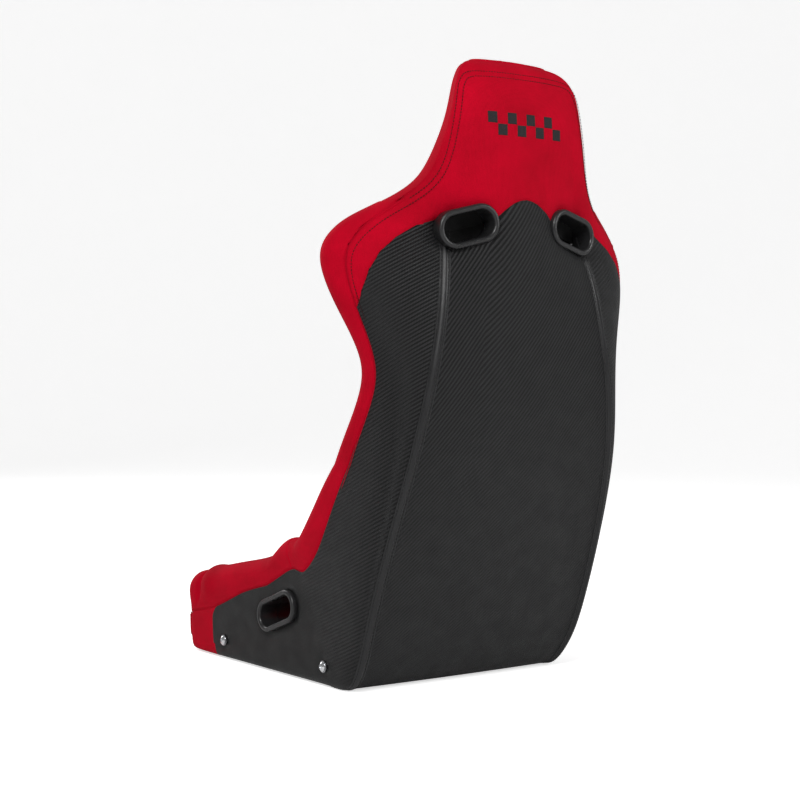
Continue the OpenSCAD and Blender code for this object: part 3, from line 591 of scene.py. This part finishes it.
def thread_finish(name, low, high):
    """Spun polyester thread: two tones twisted along it and a dull gloss."""
    made, tree, shader = finish(name, Roughness=0.7, Specular_IOR_Level=0.2)
    place = add(tree, "ShaderNodeTexCoord")
    twist = add(tree, "ShaderNodeTexNoise", {"Vector": place.outputs["Object"], "Scale": 1400.0, "Detail": 1.0})
    paint(tree, shader, twist.outputs["Fac"], low, high)
    raised(tree, shader, twist.outputs["Fac"], 0.4, 0.0003)
    return made


band_vinyl = plain_vinyl("band_vinyl")
black_thread = thread_finish("black_thread", (0.006, 0.006, 0.006), (0.030, 0.030, 0.031))
band_rows = np.linspace(HIP_ROW + 0.05, 22.6, 260)
band_across = np.unique(np.concatenate([np.linspace(-BAND_HALF, BAND_HALF, 23), np.linspace(-3.2, 3.2, 17)]))
band_points = band_lines(band_rows, band_across)
band_normal = outward(band_points)
cord = CORD_RISE * np.exp(-(band_across / CORD_SPREAD) ** 2)
tuck = 0.7 * (1 - np.sqrt(1 - np.clip(1 - (BAND_HALF - np.abs(band_across)) / 2, 0, 1) ** 2))
seam_pull = 0.35 * np.exp(-(np.abs(band_across) - STITCH_AT) ** 2)
over_floor = ease(band_rows, HIP_ROW + 0.4, PAD_ROW - 0.2)[:, None]
band_height = (0.5 + 0.4 * over_floor) + cord * over_floor - tuck - seam_pull
band_raised = band_points + band_normal * band_height[..., None] * MM
for k, side in enumerate(("left", "right")):
    points = band_raised if k == 0 else mirrored(band_raised)
    band = sheet_piece("ridge_piping_" + side, points, np.zeros(points.shape[:2]), None,
                       [(shoulder_rear[k], SHOULDER_OPEN, SHOULDER_STRAIGHT)], thick=1.6)
    dress(band, "seat", band_vinyl, "black_vinyl", "rear_piping_" + side)
    columns = [np.abs(band_across - offset).argmin() for offset in (-STITCH_AT, STITCH_AT)]
    to_side = (1 if k == 0 else -1, 1, 1)
    seam = thread_piece("ridge_stitches_" + side,
                        [(band_raised[:-6, j] * to_side, band_normal[:-6, j] * to_side) for j in columns])
    dress(seam, "seat", black_thread, "dark_thread")

# ---- rear cover of head and shoulders -------------------------------------------------------
# Red knitted cloth over thin foam, sewn as a hood: the back of the head and shoulders, round the
# rim and down the headrest's face. Its lower edge is tucked behind the black panels.


def knit_group():
    """Height and thread mask of a fine knit: small cell distance, crossed by a finer noise."""
    group, given, result = node_group("fine_knit", (("Stitches per metre", "Float"),),
                                      (("Height", "Float"), ("Thread", "Float"), ("Nap", "Float")))
    place = add(group, "ShaderNodeTexCoord").outputs["Object"]
    cells = add(group, "ShaderNodeTexVoronoi", {"Vector": place, "Scale": given.outputs[0], "Randomness": 0.55})
    fuzz = add(group, "ShaderNodeTexNoise", {"Vector": place, "Scale": given.outputs[0], "Detail": 2.0})
    nap = add(group, "ShaderNodeTexNoise", {"Vector": place, "Scale": 14.0, "Detail": 4.0, "Roughness": 0.6})
    height = scaled_sum(group, cells.outputs["Distance"], -0.7, fuzz.outputs["Fac"])
    group.links.new(height, result.inputs["Height"])
    group.links.new(cells.outputs["Distance"], result.inputs["Thread"])
    group.links.new(nap.outputs["Fac"], result.inputs["Nap"])
    return group


KNIT = knit_group()


def knitted_cloth(name, low, high):
    """Knitted cloth with a short nap: thread tone, patches where the nap lies another way, sheen."""
    made, tree, shader = finish(name, Sheen_Weight=0.06, Sheen_Roughness=0.5, Specular_IOR_Level=0.05)
    shader.inputs["Sheen Tint"].default_value = (1.0, 0.10, 0.16, 1)
    knit = add(tree, "ShaderNodeGroup", {0: 900.0}, node_tree=KNIT)
    nap = spread(tree, knit.outputs["Nap"], 0.35, 0.95, 0.3, 0.7)
    paint(tree, shader, scaled_sum(tree, knit.outputs["Thread"], -0.5, nap), low, high)
    tree.links.new(spread(tree, knit.outputs["Nap"], 0.74, 0.92), shader.inputs["Roughness"])
    raised(tree, shader, knit.outputs["Height"], 0.35, 0.0006)
    return made


def seam_dip(points, line, width, depth):
    """Sink of a sewn line: a bell of that width across the distance to the line's points."""
    far = np.min([np.linalg.norm(points - spot, axis=-1) for spot in line], axis=0)
    return depth * MM * np.exp(-(far / (width * MM)) ** 2)


def uneven(points, size, height):
    """Slow unevenness of stuffed cloth: a product of sines along slanting directions."""
    x, y, z = np.moveaxis(points / size, -1, 0)
    broad = np.sin(x + 0.7 * z) * np.sin(1.3 * y - 0.4 * x + 1)
    return height * MM * (broad + 0.6 * np.sin(2.1 * z + y) * np.sin(1.7 * x + 0.5 * y))


SEAM_ROWS = np.array([18.2, 20, 22, 23.5, 25, 26.5, 28, 29, 29.55, 29.8, 29.85, 29.85])
SEAM_V = np.array([1.985, 1.97, 1.93, 1.86, 1.72, 1.62, 1.58, 1.50, 1.28, 0.95, 0.5, 0.0])


def smooth_line(rows, v):
    """A curve through (row, station) pairs, smoothed by repeated averaging, as points and normals."""
    share = np.linspace(0, 1, 260)
    at = np.linspace(0, 1, len(rows))
    r, s = np.interp(share, at, rows), np.interp(share, at, v)
    for _ in range(30):
        r[1:-1], s[1:-1] = (r[:-2] + r[1:-1] + r[2:]) / 3, (s[:-2] + s[1:-1] + s[2:]) / 3
    line = form_point(r, s)
    normal = np.cross(form_point(r + 0.02, s) - line, form_point(r, s + 0.01) - line)
    return line, normal / np.linalg.norm(normal, axis=-1, keepdims=True)


hood_half, hood_normal = smooth_line(SEAM_ROWS, SEAM_V)
flip = np.array((-1, 1, 1))
hood_line = np.concatenate([hood_half, hood_half[::-1][1:] * flip])
hood_up = np.concatenate([hood_normal, hood_normal[::-1][1:] * flip])

half_v = np.concatenate([np.linspace(0, 1.9, 60)[:-1], np.linspace(1.9, 2.3, 12)[:-1],
                         np.linspace(2.3, 4, 26)[:-1], np.linspace(4, 5, 16)[:-1], np.linspace(5, 6, 20)])
ring_v = np.concatenate([-half_v[::-1], half_v[1:-1]])
first_row = 17.4 + 6.4 * ease(np.abs(ring_v), 2.05, 2.5)
rise_share = np.linspace(0, 1, 190)
hood_rows = first_row[None, :] + (TOP_ROW - first_row[None, :]) * rise_share[:, None]
hood = form_point(hood_rows, ring_v[None, :])
crown = np.radians(np.linspace(0, 90, 9)[1:-1])
top_middle = hood[-1].mean(0)
lid = top_middle + (hood[-1] - top_middle) * np.cos(crown)[:, None, None] ** 0.7
lid[..., 2] += 5 * MM * np.sin(crown)[:, None]
pole = np.broadcast_to(top_middle + (0, 0, 5 * MM), hood[-1:].shape)
hood = np.concatenate([hood, lid, pole])
hood_rows = np.concatenate([hood_rows, np.full((len(crown) + 1, len(ring_v)), TOP_ROW + 1.0)])
all_v = np.broadcast_to(np.abs(ring_v), hood_rows.shape)
border_at, border_share = np.linspace(0, 1, 300), np.linspace(0, 1, len(BORDER))
border_x, border_z = (np.interp(border_at, border_share, BORDER[:, k] * MM) for k in (0, 1))
border_line = np.stack([border_x, np.zeros(300), border_z], -1)
flat = np.abs(hood) * (1, 0, 1)
far = np.min([np.linalg.norm(flat - spot, axis=-1) for spot in border_line], axis=0) / MM
below = flat[..., 2] < np.interp(flat[..., 0], BORDER[:, 0] * MM, BORDER[:, 1] * MM, right=0.54)
rear_side = all_v < 3
hood_sink = np.where(rear_side, 1.8 * np.where(below, 1, np.exp(-(far / 2.6) ** 2)), 0) * MM
hood_sink = hood_sink + 4 * MM * (1 - ease(hood_rows, 23.9, 24.15)) * ease(all_v, 1.985, 2.03)
hood_sink = hood_sink + seam_dip(hood, hood_line[::4], 2.2, 1.1) * ease(hood_rows, 17.8, 18.4)
front_seam = np.abs(all_v - 4.35)
hood_sink = hood_sink + (2.2 * np.exp(-(front_seam / 0.1) ** 2) - 3.5 * ease(all_v, 4.4, 5.6)) * MM * (
    ease(hood_rows, 23, 25) * (1 - ease(hood_rows, 31, 32)))
hood_sink = hood_sink + uneven(hood, 0.055, 0.45)


def ring_outward(points):
    """Unit normals of a grid whose last column joins its first."""
    return outward(np.concatenate([points[:, -1:], points, points[:, :1]], 1))[:, 1:-1]


def stuffed_piece(name, points, sink, slots):
    """A closed tube of cloth."""
    return cover_piece(name, points, ring_outward(points), sink, slots, 2.2, ring=True)


red_cloth = knitted_cloth("red_knit", (0.33, 0.0004, 0.009), (0.56, 0.0009, 0.018))
rear_slots = [(at, SHOULDER_OPEN, SHOULDER_STRAIGHT, 44) for at in shoulder_rear]
front_slots = [(at, SHOULDER_OPEN, SHOULDER_STRAIGHT, 44) for at in shoulder_front]
head = stuffed_piece("head_and_shoulder_hood", hood, hood_sink, rear_slots + front_slots)
dress(head, "seat", red_cloth, "red_cloth",
      "head_cover_rear", "shoulder_cover_rear", "head_gusset", "headrest_cover", "headrest_foam")

dark_thread = thread_finish("dark_thread", (0.010, 0.001, 0.002), (0.045, 0.003, 0.006))
across_line = np.cross(hood_up, np.gradient(hood_line, axis=0))
across_line /= np.linalg.norm(across_line, axis=-1, keepdims=True)
runs = []
for offset in (-4.3, 4.3):
    keep = hood_line[:, 2] > (0.70 if offset > 0 else 0)
    line = hood_line + across_line * offset * MM
    runs.append((line[keep] + hood_up[keep] * -0.1 * MM, hood_up[keep]))
hood_seam = thread_piece("hood_stitches", runs, pitch=4.6, length=3.6)
dress(hood_seam, "seat", dark_thread, "dark_thread")

# ---- chequer badge --------------------------------------------------------------------------
# Eight squares in two staggered rows, satin-stitched in dark thread through the hood's cloth,
# each square a raised pillow of upright threads.
BADGE_Z, SQUARE = 816, 17
PILLOW = 49
z_rows = np.linspace(26, 30, 161)
z_of_row = form_at(z_rows)[:, 1]
unit = np.linspace(-1, 1, PILLOW)
patch_points, patch_faces = [], []
for i, j in [(i, j) for i in range(-4, 4) for j in (0, 1) if (i + j) % 2 == 0]:
    x = ((i + 0.5) + unit[None, :] * 0.485) * SQUARE + 0 * unit[:, None]
    z = BADGE_Z + ((j - 0.5) + unit[:, None] * 0.485) * SQUARE + 0 * unit[None, :]
    row = np.interp(z, z_of_row, z_rows)
    half_width = form_at(row)[..., 2]
    square = form_point(row, x / half_width)
    edge = np.minimum(1 - np.abs(unit)[None, :], 1 - np.abs(unit)[:, None]) * 8.2
    height = 0.95 * np.sqrt(1 - np.clip(1 - edge / 1.3, 0, 1) ** 2) + 0.10 * np.cos(2 * np.pi * x / 0.72) - 0.35
    square = square + outward(square) * (height - uneven(square, 0.055, 0.45) / MM)[..., None] * MM
    patch_faces.append(grid_faces(PILLOW, PILLOW) + PILLOW ** 2 * len(patch_points))
    patch_points.append(square.reshape(-1, 3))
badge = make_piece("chequer_badge", np.concatenate(patch_points), np.concatenate(patch_faces))
give_wall(badge, 0.8)
dress(badge, "seat", thread_finish("badge_thread", (0.006, 0.005, 0.006), (0.030, 0.026, 0.028)), "dark_thread",
      "emblem_patch")

# ---- side bolsters --------------------------------------------------------------------------
# Foam wrapped in red cloth along both edges of the bucket: one pair beside the thighs, closed by
# a stuffed front end, and one pair up the back to the shoulders. The seams lie under the black
# panels' edges and at the pads.
bolster_v = np.concatenate([1.975 + 0.6 * crowded(24)[:-1], np.linspace(2.575, 4.2, 46)[:-1], 4.2 + 0.83 * crowded(26)])
belt_slots = {"torso": [[rear_slots[k], front_slots[k]] for k in (0, 1)],
              "thigh": [[(lap_outer[k], LAP_OPEN, LAP_STRAIGHT, 75)] for k in (0, 1)]}


def bolster_ring(rows):
    """Rings of a bolster: its outer run, closed by a straight run back from foot to start."""
    outer = form_point(rows[:, None], bolster_v[None, :])
    share = np.linspace(0, 1, 10)[None, 1:-1, None]
    back = outer[:, -1:] + (outer[:, :1] - outer[:, -1:]) * share
    return np.concatenate([outer, back], 1)


def bolster_sink(ring, start_drop, end_drop):
    """Sink of a bolster: turned edges at start and foot, its two ends, and the foam's crown."""
    outer = ring[:, :len(bolster_v)]
    across = run_length(outer, 1)
    from_black = (across - np.stack([np.interp(BLACK_EDGE, bolster_v, a) for a in across])[:, None]) / MM
    tucked = np.where(from_black < 0, 1, np.exp(-(from_black / 2.6) ** 2))
    edges = 1.9 * MM * tucked + turned_edge(outer, 9 * MM, 4.5 * MM, "r")
    along = run_length(outer, 0)
    for gap, drop in ((along, start_drop), (along[-1:] - along, end_drop)):
        q = np.clip(1 - gap / (5 * MM), 0, 1)
        edges = edges + drop * MM * (1 - np.sqrt(1 - q * q))
    crown = 1.6 * MM * np.sin(np.pi * np.clip((bolster_v - 2.1) / 2.8, 0, 1)) ** 0.8
    sink = np.zeros(ring.shape[:2])
    sink[:, :len(bolster_v)] = edges - crown[None, :] + uneven(outer, 0.06, 0.55) * ease(from_black, 2, 18)
    return sink


torso_rows = np.linspace(HIP_ROW - 0.02, NECK_ROW + 0.12, 210)
torso = bolster_ring(torso_rows)
torso_sink = bolster_sink(torso, 1.4, 1.6)
thigh_rows = np.concatenate([np.linspace(0.05, 2, 60)[:-1], np.linspace(2, HIP_ROW + 0.02, 90)])
thigh = bolster_ring(thigh_rows)
thigh_sink = bolster_sink(thigh, 0, 1.4)
v_all = np.concatenate([bolster_v, np.full(8, 5.5)])[None, :]
row_all = thigh_rows[:, None]
over_top = ease(v_all, 2.3, 3.0) * (1 - ease(v_all, 4.0, 4.8))
fold = np.exp(-((row_all - 2.3 - 0.2 * (v_all - 3)) / 0.11) ** 2) * ease(v_all, 2.2, 2.9) * (1 - ease(v_all, 4.0, 4.7))
lump = np.exp(-((row_all - 1.6) / 0.6) ** 2) * over_top
after = np.exp(-((row_all - 2.75) / 0.25) ** 2) * over_top
thigh_sink = thigh_sink + (5.2 * fold - 3.0 * lump - 4.0 * after) * MM
front = np.radians(np.linspace(0, 90, 16))[:-1]
middle = thigh[0].mean(0)
nose = middle + (thigh[0] - middle) * np.sin(front)[:, None, None]
nose[..., 1] -= 5.5 * MM * np.cos(front)[:, None]
thigh = np.concatenate([nose, thigh])
thigh_sink = np.concatenate([thigh_sink[:1] * np.sin(front)[:, None] ** 2, thigh_sink])


def closed_end(ring, sink):
    """The rings with their last one gathered to a point, by way of one ring just inside the rim."""
    middle = ring[-1].mean(0)
    cap = [middle + (ring[-1:] - middle) * share for share in (0.94, 0.0)]
    return np.concatenate([ring, *cap]), np.concatenate([sink, sink[-1:] * 0.5, sink[-1:] * 0])


def closed_ends(ring, sink):
    """The same at both ends."""
    ring, sink = closed_end(ring[::-1], sink[::-1])
    return closed_end(ring[::-1], sink[::-1])


torso, torso_sink = closed_ends(torso, torso_sink)
thigh, thigh_sink = closed_end(thigh, thigh_sink)
for part, rings, sinks in (("torso", torso, torso_sink), ("thigh", thigh, thigh_sink)):
    for k, side in enumerate(("left", "right")):
        points, sink = (rings, sinks) if k == 0 else (mirrored(rings), sinks[:, ::-1])
        bolster = stuffed_piece(f"{part}_bolster_{side}", points, sink, belt_slots[part][k])
        dress(bolster, "seat", red_cloth, "red_cloth",
              f"{part}_bolster_cover_{side}", f"{part}_bolster_foam_{side}")

# ---- front apron ----------------------------------------------------------------------------
# Red cloth that wraps the pan's front edge: under it, up both sides to the bolsters, and turned
# in over the front.
apron_v = np.concatenate([-1 - 1.0 * crowded(50)[::-1], np.linspace(-1, 1, 60)[1:-1], 1 + 1.0 * crowded(50)])
apron_rows = np.concatenate([np.linspace(0.3, 2.6, 70)[:-1], 2.6 + 0.43 * crowded(24)])
apron = form_point(apron_rows[:, None], apron_v[None, :])
curl = np.radians(np.linspace(150, 0, 14))[:-1]
turned_in = apron[:1] + 3.5 * MM * np.stack([0 * curl, -np.sin(curl), 1 - np.cos(curl)], -1)[:, None]
apron = np.concatenate([turned_in, apron])
apron_sink = turned_edge(apron, 3 * MM, 1.6 * MM, "lrt") + uneven(apron, 0.05, 0.3)
apron_piece = sheet_piece("front_apron_cloth", apron, apron_sink)
dress(apron_piece, "seat", red_cloth, "red_cloth", "front_apron")

# ---- back pad -------------------------------------------------------------------------------
# Foam pad between the back bolsters, in the same cloth, crowned, sewn down along both bolsters
# and across in three channels.
pad_v = np.concatenate([5 + 0.5 * crowded(24)[:-1], np.linspace(5.5, 6, 26),
                        -np.linspace(6, 5.5, 26)[1:], -5.5 + 0.5 * crowded(24)[1:]])
pad_rows = PAD_ROW + 0.02 + (NECK_ROW + 0.1 - PAD_ROW) * crowded(200)
pad_face = form_point(pad_rows[:, None], pad_v[None, :])
feet = form_at(pad_rows)[:, 10] - 5
rear_x = np.linspace(-1, 1, 30)[None, :] * feet[:, None]
rear_share = rear_x / form_at(pad_rows)[:, [2]]
pad_back = form_point(pad_rows[:, None], rear_share, depth=9.5)
pad = np.concatenate([pad_face, pad_back], 1)
face_count = len(pad_v)
pad_sink = np.zeros(pad.shape[:2])
hump = np.sin(np.pi * np.linspace(0, 1, face_count))
channels = sum(np.exp(-((pad_rows - at) / 0.14) ** 2) for at in (12.2, 15.6, 19.2))
pad_sink[:, :face_count] = (turned_edge(pad_face, 10 * MM, 5 * MM) - 3.2 * MM * hump ** 0.6
                            + 3.0 * MM * channels[:, None] * hump ** 0.3 + uneven(pad_face, 0.07, 0.6))
pad, pad_sink = closed_ends(pad, pad_sink)
back_pad = stuffed_piece("back_pad", pad, pad_sink, rear_slots + front_slots)
dress(back_pad, "seat", red_cloth, "red_cloth", "back_cover", "back_foam")

# ---- base cushion ---------------------------------------------------------------------------
# Loose foam cushion in red cloth that lies between the thigh bolsters on hook-and-loop strips,
# stuffed by a cloth simulation of its own pressure, with a belt opening.
CUSHION_FRONT, CUSHION_LENGTH, CUSHION_HALF = -314, 424, 146
CUSHION_TOP, CUSHION_BASE, CUSHION_DROP = 88, 12.4, 16
CROTCH_Y, CROTCH_OPEN, CROTCH_STRAIGHT = -105, 34, 56


def cushion_point(t, u, inset):
    """The cushion's top at share t from front to back and share u across: it falls to the back,
    rolls over at the front, drops at the sides by a fourth power, and is dished by a sine."""
    y = CUSHION_FRONT + inset + (CUSHION_LENGTH - 2 * inset) * t
    x = u * (CUSHION_HALF - inset - 8 * t ** 4)
    z = (CUSHION_TOP - CUSHION_DROP * t - 10 * np.maximum(0, 1 - 5 * t) ** 2 - 12 * np.abs(u) ** 4
         - 5 * (1 - u * u) * np.sin(np.pi * np.minimum(1, 1.1 * t))) - inset
    return np.stack(np.broadcast_arrays(x, y, z), -1) * MM


t, u = np.linspace(0, 1, 90), np.sin(np.linspace(-np.pi / 2, np.pi / 2, 70))
top = cushion_point(t[:, None], u[None, ::-1], 4.0)
base = top[:, ::-1].copy()
base[..., 2] = (CUSHION_BASE + 3) * MM
walls = [0.25, 0.5, 0.75]
left_wall = np.concatenate([top[:, -1:] * (1 - k) + base[:, :1] * k for k in walls], 1)
right_wall = np.concatenate([base[:, -1:] * (1 - k) + top[:, :1] * k for k in walls], 1)
block = np.concatenate([top, left_wall, base, right_wall], 1)
block, _ = closed_ends(block, np.zeros(block.shape[:2]))
cushion = make_piece("base_cushion", block, grid_faces(*block.shape[:2], ring=True))
mend(cushion, turn_out=True)


def obround_line(straight, radius):
    """Closed outline with straight sides and round ends, evenly spaced by angle on its ends, and
    its directions outwards."""
    angle = np.linspace(-np.pi / 2, np.pi / 2, 48)
    ends = np.concatenate([angle, angle + np.pi])
    shift = np.repeat((straight / 2, -straight / 2), 48)
    out_dir = np.stack([np.cos(ends), np.sin(ends)], -1)
    return out_dir * radius + np.stack([shift, 0 * shift], -1), out_dir


def cut_through(piece, centre, straight, radius, low, high):
    """Cuts an upright obround opening through a closed piece."""
    line, _ = obround_line(straight, radius)
    wall_points = np.stack([np.column_stack([line[:, 0] + centre[0], line[:, 1] + centre[1], np.full(len(line), z)])
                            for z in (low, high)]) * MM
    count = len(line)
    faces = grid_faces(2, count, ring=True).tolist() + [list(range(count))[::-1], list(range(count, 2 * count))]
    cutter = make_piece("cutter", wall_points, faces)
    mend(cutter, 1e-6, turn_out=True)
    cut = piece.modifiers.new("cut", "BOOLEAN")
    cut.operation, cut.object, cut.solver = "DIFFERENCE", cutter, "EXACT"
    bake_modifiers(piece)
    bpy.data.objects.remove(cutter)


def bake_modifiers(piece):
    """Replaces the piece's mesh by what its modifiers make of it, and clears them."""
    ready = piece.evaluated_get(bpy.context.evaluated_depsgraph_get())
    made = bpy.data.meshes.new_from_object(ready)
    piece.modifiers.clear()
    piece.data = made


def stuff(piece, voxel, most, pressure):
    """Remeshes the piece evenly, inflates it as cloth for 20 frames without gravity, moves no
    point further than most, and adds one subdivision."""
    remesh = piece.modifiers.new("even", "REMESH")
    remesh.mode, remesh.voxel_size = "VOXEL", voxel * MM
    bake_modifiers(piece)
    before = np.empty(len(piece.data.vertices) * 3)
    piece.data.vertices.foreach_get("co", before)
    cloth = piece.modifiers.new("cloth", "CLOTH")
    cloth.settings.use_pressure = True
    cloth.settings.uniform_pressure_force = pressure
    cloth.settings.effector_weights.gravity = 0
    cloth.settings.quality = 5
    for frame_number in range(1, 21):
        scene.frame_set(frame_number)
    ready = piece.evaluated_get(bpy.context.evaluated_depsgraph_get())
    after = np.empty(len(ready.data.vertices) * 3)
    ready.data.vertices.foreach_get("co", after)
    piece.modifiers.clear()
    scene.frame_set(1)
    move = (after - before).reshape(-1, 3)
    size = np.linalg.norm(move, axis=1, keepdims=True)
    move *= np.minimum(1, most * MM / np.maximum(size, 1e-9))
    piece.data.vertices.foreach_set("co", (before.reshape(-1, 3) + move).ravel())
    piece.data.update()
    piece.data.polygons.foreach_set("use_smooth", np.ones(len(piece.data.polygons), bool))
    finer = piece.modifiers.new("finer", "SUBSURF")
    finer.levels = finer.render_levels = 1


cut_through(cushion, (0, CROTCH_Y), CROTCH_STRAIGHT, CROTCH_OPEN / 2 + LIP - 0.5, 0, 160)
stuff(cushion, 5, 7, 4.0)
cushion.data.materials.clear()
dress(cushion, "cushion", red_cloth, "red_cloth", "base_cushion_cover", "base_cushion_foam")

# ---- belt-slot bezels -----------------------------------------------------------------------
# Gloss black mouldings that line the belt slots: a thick rounded lip on a thin sleeve, pushed in
# from each side of the bucket, and a ring in the base cushion. Near-black cloth flaps across the
# shoulder slots are painted shade: they stand for the shade deep inside the slots.
SLEEVE, LIP_SEAT = 3, 16


def bezel_profile(open_width, proud, deep):
    """Closed profile (distance from the slot's line, height): sleeve, shoulder and a half-round lip."""
    r, lip = open_width / 2, LIP / 2
    over = np.radians(np.linspace(0, 180, 19))
    inner = np.linspace(proud - lip, -deep, 9)[1:-1]
    return np.concatenate([
        [(r + 0.6, -deep), (r + SLEEVE, -deep), (r + SLEEVE, -LIP_SEAT),
         (r + LIP - 0.8, -LIP_SEAT), (r + LIP, -LIP_SEAT + 0.8)],
        np.stack([r + lip + lip * np.cos(over), proud - lip + lip * np.sin(over)], -1),
        np.stack([np.full(7, r), inner], -1)])


def bezel_piece(name, profile, straight, at):
    """A ring: the profile carried round an obround line in the slot's own axes."""
    line, out_dir = obround_line(straight, 0)
    ring = np.concatenate([line[:, None] + out_dir[:, None] * profile[None, :, :1],
                           np.broadcast_to(profile[None, :, 1:], (len(line), len(profile), 1))], -1) * MM
    points = ring @ at[:3, :3].T + at[:3, 3]
    index = np.arange(points[..., 0].size).reshape(points.shape[:2])
    a, b = index, np.roll(index, -1, 0)
    faces = np.stack([a, b, np.roll(b, -1, 1), np.roll(a, -1, 1)], -1).reshape(-1, 4)
    piece = make_piece(name, points, faces)
    mend(piece, 1e-6, turn_out=True)
    piece.data.polygons.foreach_set("use_smooth", np.ones(len(piece.data.polygons), bool))
    piece.data.set_sharp_from_angle(angle=np.radians(50))
    return piece


moulded = plain_vinyl("moulded_black", (0.010, 0.010, 0.0105), (0.020, 0.020, 0.021), (0.26, 0.36), 900.0)
# Painted shade: near-black matt cloth for flaps that stand for the shade inside the shoulder slots.
shade_flap_cloth = plain_vinyl("shade_flap_cloth", (0.0015, 0.0015, 0.0015), (0.004, 0.004, 0.004), (0.85, 0.95), 1500.0)
inner_lap = [at @ np.array(Matrix.Translation((0, 0, -49 * MM)) @ Matrix.Rotation(np.pi, 4, "X")) for at in lap_outer]
for name, frames, width, straight, proud, deep in (
        ("shoulder_bezel_rear", shoulder_rear, SHOULDER_OPEN, SHOULDER_STRAIGHT, 12, 24),
        ("shoulder_bezel_front", shoulder_front, SHOULDER_OPEN, SHOULDER_STRAIGHT, 9, 36),
        ("lap_bezel_outer", lap_outer, LAP_OPEN, LAP_STRAIGHT, 8, 24.2),
        ("lap_bezel_inner", inner_lap, LAP_OPEN, LAP_STRAIGHT, 6, 24.5)):
    for k, side in enumerate(("left", "right")):
        bezel = bezel_piece(f"{name}_moulding_{side}", bezel_profile(width, proud, deep), straight, frames[k])
        dress(bezel, "seat", moulded, "gloss_black", f"{name}_{side}")
# Painted shade: two overlapping dark flaps across each rear shoulder slot, where the slot's inside is only in shade.
flap_u, flap_v = np.linspace(-1, 1, 40), np.linspace(-2.5, 21.5, 12)
half = SHOULDER_STRAIGHT / 2 + np.sqrt(flap_v[-1] ** 2 - flap_v ** 2)
for k, side in enumerate(("left", "right")):
    flaps, flap_faces = [], []
    for up in (-1, 1):
        flap = np.stack([flap_u[None, :] * half[:, None] * up, np.repeat(flap_v[:, None] * up, 40, 1),
                         -26 - 1.3 * up - 1.2 * np.cos(flap_v / 6)[:, None] - 0.5 * np.sin(9 * flap_u)], -1) * MM
        flap_faces.append(grid_faces(12, 40)[:, ::-1] + 12 * 40 * len(flaps))
        flaps.append((flap @ shoulder_rear[k][:3, :3].T + shoulder_rear[k][:3, 3]).reshape(-1, 3))
    shade = make_piece("slot_shade_flaps_" + side, np.concatenate(flaps), np.concatenate(flap_faces))
    give_wall(shade, 1.0, 0)
    dress(shade, "seat", shade_flap_cloth, "black_cloth")
crotch_top = 81
ring_piece = bezel_piece("cushion_slot_ring", bezel_profile(CROTCH_OPEN, 0, crotch_top - 13), CROTCH_STRAIGHT,
                         slot_frame((0, CROTCH_Y, crotch_top), ()))
dress(ring_piece, "cushion", moulded, "gloss_black", "crotch_bezel_cushion")

# ---- hard parts that keep their worked shape -------------------------------------------------
# The laminated bucket, its cloth-backed underside, the mount plates, nuts, washers and screws,
# the hook-and-loop strips and the shell's own slot ring.


def metal(name, low, high, rough):
    """Bare or plated metal: fine scratches of tone and gloss in stretched noise."""
    made, tree, shader = finish(name, Metallic=1.0)
    place = add(tree, "ShaderNodeTexCoord")
    pull = add(tree, "ShaderNodeMapping", {"Vector": place.outputs["Object"], "Scale": (1, 0.15, 1)})
    scratch = add(tree, "ShaderNodeTexNoise", {"Vector": pull.outputs[0], "Scale": 260.0, "Detail": 4.0})
    paint(tree, shader, scratch.outputs["Fac"], low, high)
    tree.links.new(spread(tree, scratch.outputs["Fac"], *rough), shader.inputs["Roughness"])
    raised(tree, shader, scratch.outputs["Fac"], 0.2, 0.00015)
    return made


def laminate():
    """Dark cured resin over chopped glass mat: strands as stretched cells under a satin skin."""
    made, tree, shader = finish("glass_laminate", Coat_Weight=0.3, Coat_Roughness=0.25)
    place = add(tree, "ShaderNodeTexCoord")
    strand = add(tree, "ShaderNodeTexVoronoi", {"Vector": place.outputs["Object"], "Scale": 160.0}, feature="SMOOTH_F1")
    paint(tree, shader, strand.outputs["Distance"], (0.012, 0.012, 0.013), (0.045, 0.045, 0.048))
    tree.links.new(spread(tree, strand.outputs["Distance"], 0.35, 0.6), shader.inputs["Roughness"])
    raised(tree, shader, strand.outputs["Distance"], 0.4, 0.0008)
    return made


chrome = metal("plated_screw", (0.62, 0.63, 0.65), (0.86, 0.87, 0.88), (0.10, 0.22))
steel = metal("zinc_steel", (0.30, 0.30, 0.31), (0.50, 0.50, 0.52), (0.32, 0.5))
hard_finish = {
    "frp_shell": laminate(),
    "underside_panel": plain_vinyl("underside_cloth", (0.008, 0.008, 0.008), (0.020, 0.020, 0.021), (0.7, 0.9), 1200.0),
    "mount_plate_left": steel, "mount_plate_right": steel, "mount_nuts": steel,
    "mount_washers": steel, "mount_screws": chrome, "crotch_bezel_shell": moulded,
    "loop_strips": plain_vinyl("loop_pile", (0.006, 0.006, 0.006), (0.03, 0.03, 0.03), (0.85, 0.98), 1400.0),
    "hook_strips": plain_vinyl("hook_tape", (0.006, 0.006, 0.006), (0.02, 0.02, 0.02), (0.6, 0.8), 700.0)}
for node_name, material in hard_finish.items():
    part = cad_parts[node_name]
    part.data.materials.clear()
    part.data.materials.append(material)
